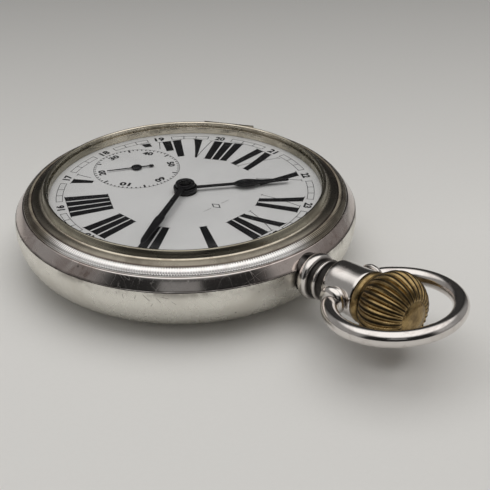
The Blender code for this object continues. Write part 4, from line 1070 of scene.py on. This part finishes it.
def stroke(angle, foot, head, foot_width, head_width):
    """Stroke between two places across; parts over the small dial are left out."""
    left, right = [], []
    for i in range(STROKE_CELLS + 1):
        t = i / STROKE_CELLS
        radius = FOOT + (HEAD - FOOT) * t
        across = foot + (head - foot) * t
        half = (foot_width + (head_width - foot_width) * t) / 2
        pair = [clock_point(angle, radius, (across + shift) * spread(radius))
                for shift in (-half, half)]
        if clear_of_seconds(pair):
            left.append(pair[0])
            right.append(pair[1])
        else:
            if len(left) > 1:
                numerals.strip(left, right)
            left, right = [], []
    if len(left) > 1:
        numerals.strip(left, right)


def serif(angle, start, end, radius):
    wide = spread(radius)
    inner, outer = radius - SERIF / 2, radius + SERIF / 2
    corners = ((inner, start), (inner, end), (outer, end), (outer, start))
    points = [clock_point(angle, out, across * wide) for out, across in corners]
    if clear_of_seconds(points):
        numerals.poly(points)


def glyph_i(angle, left, right):
    stroke(angle, left + BAR / 2, left + BAR / 2, BAR, BAR)
    for radius in (FOOT, HEAD):
        serif(angle, left - BAR_HANG, right + BAR_HANG, radius)


def glyph_v(angle, left, right):
    """The thick arm leans from upper left to the foot, the hairline rises to the right."""
    width = right - left
    stroke(angle, left + width * 0.52, left + BAR * 0.55, V_FOOT, BAR)
    stroke(angle, left + width * 0.55, right - 0.15, HAIR, HAIR)
    serif(angle, left - BAR_HANG, left + BAR + LEAN_HANG, HEAD)
    serif(angle, right - 0.5, right + HAIR_HANG, HEAD)


def glyph_x(angle, left, right):
    """The thick stroke falls from upper left to lower right, the hairline crosses it."""
    stroke(angle, right - BAR * 0.55, left + BAR * 0.55, BAR, BAR)
    stroke(angle, left + 0.25, right - 0.25, HAIR, HAIR)
    shift = right - left - BAR - 0.04
    serif(angle, left - BAR_HANG + shift, left + BAR + LEAN_HANG + shift, FOOT)
    serif(angle, left - 0.05, left + 0.55, FOOT)
    serif(angle, left - BAR_HANG, left + BAR + LEAN_HANG, HEAD)
    serif(angle, right - 0.55, right + HAIR_HANG, HEAD)


GLYPHS = {"I": glyph_i, "V": glyph_v, "X": glyph_x}
for hour, glyphs in HOURS.items():
    total = sum(GLYPH_WIDTHS[glyph] for glyph in glyphs) + GLYPH_GAP * (len(glyphs) - 1)
    left = -total / 2
    for glyph in glyphs:
        right = left + GLYPH_WIDTHS[glyph]
        GLYPHS[glyph](hour * 30.0, left, right)
        left = right + GLYPH_GAP
numerals.make("dial_hours")

# ------------------------------------------------------------------ minute track
track = Print()
for minute in range(60):
    if minute % 5:
        track.tick(minute * 6.0, inner=18.98, outer=20.02, width=0.12)
for k in range(12):
    for radius in (18.96, 19.94):
        track.ring(radius, radius + 0.09, start=k * 30.0 + 5.9, end=k * 30.0 + 24.1)
    # the afternoon hours, 13 to 24, interrupt the track
    track.text(str(12 + (k or 12)), k * 30.0, radius=19.5, high=1.3, wide=1.62)
track.make("dial_minutes")

# ------------------------------------------------------------------ small seconds dial
small = Print(SECONDS_CENTRE)
for second in range(60):
    if second % 10 == 5:
        small.tick(second * 6.0, inner=6.0, outer=6.92, width=0.30)
    else:
        small.tick(second * 6.0, inner=6.5, outer=6.9, width=0.2)
small.ring(6.86, 6.92)
for k in range(6):
    small.text(str(10 * (k or 6)), k * 60.0, radius=5.62, high=1.15, wide=1.75)
small.make("dial_seconds")

# open lozenge between two short rules, on the 12 o'clock side of the centre
mark = Print()
for side in (1, -1):
    mark.strip([(0, 7.9), (side * 0.62, 6.9), (0, 5.9)], [(0, 7.62), (side * 0.45, 6.9), (0, 6.18)])
    mark.poly([(side * 1.1, 6.86), (side * 2.7, 6.88), (side * 2.7, 6.92), (side * 1.1, 6.94)])
mark.make("dial_ornament")

# ------------------------------------------------------------------ hands
# distance from the pivot, half width
MINUTE_STEM = [(1.0, 0.40), (4.0, 0.43), (8.0, 0.48), (10.9, 0.52)]
MINUTE_BLADE = [
    (11.1, 0.66), (12.2, 0.68), (14.0, 0.62), (16.0, 0.54), (18.2, 0.44), (19.0, 0.26),
    (19.5, 0.08),
]
HOUR_BLADE = [
    (1.5, 0.34), (4.0, 0.32), (7.3, 0.33), (7.8, 0.50), (8.4, 0.90), (9.1, 1.13), (9.8, 1.18),
    (10.6, 1.02), (11.3, 0.76), (12.1, 0.60), (13.4, 0.48), (15.0, 0.35), (16.2, 0.26),
]
SECONDS_BLADE = [
    (-2.78, 0.10), (-2.66, 0.26), (-2.38, 0.34), (-2.1, 0.26), (-1.95, 0.12), (-0.6, 0.11),
    (0.6, 0.12), (2.4, 0.10), (4.8, 0.06),
]
# radius, height
MINUTE_HUB = [
    (0.86, 1.05), (1.5, 1.05), (1.52, 1.42), (1.42, 1.6), (1.16, 1.6), (1.06, 1.46), (0.86, 1.44),
]
HOUR_HUB = [(1.64, 0.30), (1.82, 0.30), (1.86, 0.86), (1.76, 0.97), (1.64, 0.97)]
SECONDS_HUB = [(0.0, 0.14), (0.86, 0.14), (0.86, 0.32), (0.6, 0.44), (0.0, 0.47)]


def hand(node, outline, hub, bottom, top, clock, body, soft, centre=(0, 0)):
    """Hand from a half outline and a turned hub, with softened edges."""
    name = node + "_fine"
    points = [(half, out) for out, half in outline]
    points += [(-half, out) for out, half in reversed(outline)]
    curve = bpy.data.curves.new(name, "CURVE")
    curve.dimensions = "2D"
    curve.fill_mode = "BOTH"
    curve.extrude = (top - bottom) / 2 - soft
    curve.bevel_depth = soft
    curve.bevel_resolution = 2
    curve.offset = -soft
    spline = curve.splines.new("POLY")
    spline.points.add(len(points) - 1)
    for point, (x, y) in zip(spline.points, points):
        point.co = (x, y, 0, 1)
    spline.use_cyclic_u = True
    obj = link_object(name, curve)
    mesh = evaluated_mesh(obj)
    bpy.data.objects.remove(obj, do_unlink=True)
    blade = np.array([vert.co for vert in mesh.vertices]).reshape(-1, 3)
    blade[:, 2] += (bottom + top) / 2
    blade_faces = [tuple(face.vertices) for face in mesh.polygons]
    verts, faces = merge((blade, blade_faces), revolve(fillet(hub, 0.07, 3), 72))
    x, y, z = verts.T
    turn = -math.radians(clock)
    verts = np.stack([x * math.cos(turn) - y * math.sin(turn) + centre[0],
                      x * math.sin(turn) + y * math.cos(turn) + centre[1], z], 1)
    part(name, (verts, faces), HAND, body, replaces=node, sharp=45)


hand("minute_hand", smooth_curve(MINUTE_STEM) + smooth_curve(MINUTE_BLADE), MINUTE_HUB,
     bottom=1.16, top=1.40, clock=61.8, body="centre_set", soft=0.05)
hand("hour_hand", smooth_curve(HOUR_BLADE) + [(16.3, 0.1)], HOUR_HUB,
     bottom=0.50, top=0.74, clock=306.0, body="hour_set", soft=0.07)
hand("seconds_hand", smooth_curve(SECONDS_BLADE), SECONDS_HUB, bottom=0.17, top=0.29,
     clock=121.0, body="fourth_set", soft=0.03, centre=SECONDS_CENTRE)

# ------------------------------------------------------------------ CAD nodes that stay
kept = {
    ENAMEL: ["dial"],
    PLATE: ["main_plate"],
    BRIDGE: ["barrel_bridge", "train_bridge", "pallet_bridge"],
    COCK: ["balance_cock"],
    GILT: ["barrel", "barrel_cover", "centre_wheel", "third_wheel", "fourth_wheel",
           "balance_wheel", "minute_wheel", "hour_wheel"],
    RATCHET: ["ratchet_wheel", "crown_wheel"],
    BLUED: ["mainspring", "hairspring", "ratchet_screw", "crown_wheel_screw", "cock_screw",
            "barrel_bridge_screw_1", "barrel_bridge_screw_2", "barrel_bridge_screw_3",
            "train_bridge_screw_1", "train_bridge_screw_2"],
    RUBY: ["third_jewel", "fourth_jewel", "escape_jewel", "balance_jewel", "impulse_pin"],
}
named = {name for names in kept.values() for name in names}
# whatever else still shows is steel
kept[STEEL] = [name for name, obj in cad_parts.items()
               if name not in named and not obj.hide_render]
for mat, names in kept.items():
    for name in names:
        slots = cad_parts[name].data.materials
        slots.clear()
        slots.append(mat.material)


# ------------------------------------------------------------------ floor
def floor_paper():
    """Paper painted darker beyond the watch, away from the camera, as painted shade; distances in
    metres.
    """
    mat = Mat("floor_paper", colour=(0.62, 0.60, 0.58), rough=0.7, metal=0.0)
    nearness = mat.new("VectorMath")
    nearness.operation = "DOT_PRODUCT"
    mat.put(nearness.inputs[0], mat.position)
    nearness.inputs[1].default_value = TO_CAMERA
    # painted shade: the paper's brightness falls off away from the camera
    light = mat.span(nearness.outputs["Value"], start=-0.135, end=-0.005, low=0.45, smooth=False)
    fibre = mat.scaled(mat.noise(scale=1400, detail=4, rough=0.6), by=0.03, plus=0.985)
    tone = mat.new("VectorMath")
    tone.operation = "SCALE"
    tone.inputs[0].default_value = (0.80, 0.79, 0.765)
    mat.put(tone.inputs["Scale"], mat.times(light, fibre))
    mat.set("Base Color", tone.outputs[0])
    return mat


grid = bmesh.new()
bmesh.ops.create_grid(grid, x_segments=2, y_segments=2, size=1.6)
floor_mesh = bpy.data.meshes.new("floor")
grid.to_mesh(floor_mesh)
grid.free()
floor = link_object("floor", floor_mesh)
floor_mesh.materials.append(floor_paper().material)


# ------------------------------------------------------------------ world
class WorldNodes(Nodes):
    spare = 0.0

    def background(self, colour, strength):
        node = self.new("Background")
        self.put(node.inputs["Color"], (*colour, 1))
        self.put(node.inputs["Strength"], strength)
        return node.outputs[0]

    def choose(self, test, otherwise, chosen):
        node = self.new("MixShader")
        for socket, value in zip(node.inputs, (test, otherwise, chosen)):
            self.put(socket, value)
        return node.outputs[0]


def reflected_room(sky):
    """Brightness of the room that the metal mirrors; angles in degrees."""
    split = sky.new("SeparateXYZ")
    sky.put(split.inputs[0], sky.new("TexCoord").outputs["Generated"])
    x, y, z = split.outputs
    elevation = sky.scaled(sky.math("ARCSINE", z), by=DEGREES)
    # azimuth: 0 behind the camera, 180 beyond the watch, positive on the camera's left
    east, north = float(TO_CAMERA.x), float(TO_CAMERA.y)
    toward = sky.add(sky.scaled(x, by=east), sky.scaled(y, by=north))
    across = sky.minus(sky.scaled(x, by=north), sky.scaled(y, by=east))
    azimuth = sky.scaled(sky.math("ARCTAN2", across, toward), by=DEGREES)
    side = sky.math("ABSOLUTE", azimuth)
    # white ceiling, reaching lower at the two sides
    lift = sky.times(sky.rise(side, start=58.0, end=80.0), sky.fall(side, start=138.0, end=154.0))
    raised = sky.add(elevation, sky.scaled(lift, by=8.0))
    ceiling = sky.scaled(sky.rise(raised, start=38.0, end=62.0), by=1.2)
    # grey walls left and right, in an almost dark room
    walls = sky.times(sky.rise(side, start=48.0, end=66.0), sky.fall(side, start=132.0, end=156.0))
    darkest = 0.018
    level = sky.add(sky.scaled(walls, by=0.26), darkest)
    # lighter patch on the wall to the camera's right
    patch = sky.times(sky.rise(azimuth, start=-100.0, end=-86.0),
                      sky.fall(azimuth, start=-66.0, end=-56.0))
    patch = sky.times(patch, sky.rise(elevation, start=8.0, end=24.0))
    level = sky.add(level, sky.scaled(patch, by=0.12))
    # faint light beyond the watch
    level = sky.add(level, sky.scaled(sky.rise(side, start=150.0, end=165.0), by=0.02))
    # one dim window behind the camera
    window = sky.times(
        sky.times(sky.rise(azimuth, start=-12.0, end=-9.0),
                  sky.fall(azimuth, start=16.0, end=19.0)),
        sky.times(sky.rise(elevation, start=21.0, end=23.0),
                  sky.fall(elevation, start=38.0, end=40.0)))
    level = sky.add(level, sky.scaled(window, by=0.19))
    return sky.larger(level, ceiling)


world = bpy.data.worlds.new("studio")
bpy.context.scene.world = world
world.use_nodes = True
world.node_tree.nodes.clear()
sky = WorldNodes(world.node_tree)
glossy = sky.background(colour=(1.0, 0.985, 0.97), strength=reflected_room(sky))
plain = sky.background(colour=(1.0, 0.99, 0.98), strength=0.30)
seen = sky.background(colour=(0.42, 0.41, 0.40), strength=1.0)
ray = sky.new("LightPath").outputs
lit = sky.choose(ray["Is Glossy Ray"], otherwise=plain, chosen=glossy)
sky.put(sky.new("OutputWorld").inputs[0], sky.choose(ray["Is Camera Ray"], lit, seen))


# ------------------------------------------------------------------ lights, in metres
def area(name, where, target, size, power, colour):
    """Square light aimed at a target and left out of reflections."""
    light = bpy.data.lights.new(name, "AREA")
    light.size = size
    light.energy = power
    light.color = colour
    obj = bpy.data.objects.new(name, light)
    obj.location = where
    obj.rotation_euler = (Vector(where) - Vector(target)).to_track_quat("Z", "Y").to_euler()
    obj.visible_glossy = False
    bpy.context.scene.collection.objects.link(obj)


area("key", where=(-0.10, -0.05, 0.62), target=(0, 0.01, 0), size=0.8, power=2.6,
     colour=(1.0, 0.99, 0.975))
area("fill", where=(0.35, -0.30, 0.35), target=(0, 0, 0), size=0.5, power=0.22,
     colour=(0.97, 0.98, 1.0))

# ------------------------------------------------------------------ camera
CAMERA_PLACE = (131.2525, 147.1908, 102.3409 + DEPTH)    # millimetres above the floor's origin
CAMERA_ELEVATION = math.radians(29.639)
CAMERA_ROLL = math.radians(-0.899)

lens = bpy.data.cameras.new("camera")
lens.sensor_width = 36.0
lens.lens = 104.910245
lens.clip_start, lens.clip_end = 0.01, 10.0
camera = bpy.data.objects.new("camera", lens)
backward = Vector((math.sin(VIEW_CLOCK) * math.cos(CAMERA_ELEVATION),
                   -math.cos(VIEW_CLOCK) * math.cos(CAMERA_ELEVATION),
                   math.sin(CAMERA_ELEVATION)))
level = Vector((0, 0, 1)).cross(backward).normalized()
upright = backward.cross(level)
cosine, sine = math.cos(CAMERA_ROLL), math.sin(CAMERA_ROLL)
right, up = cosine * level + sine * upright, -sine * level + cosine * upright
rotation = Matrix((right, up, backward)).transposed().to_4x4()
camera.matrix_world = Matrix.Translation(Vector(CAMERA_PLACE) / 1000.0) @ rotation
bpy.context.scene.collection.objects.link(camera)
bpy.context.scene.camera = camera
bpy.context.scene.view_settings.view_transform = "Standard"
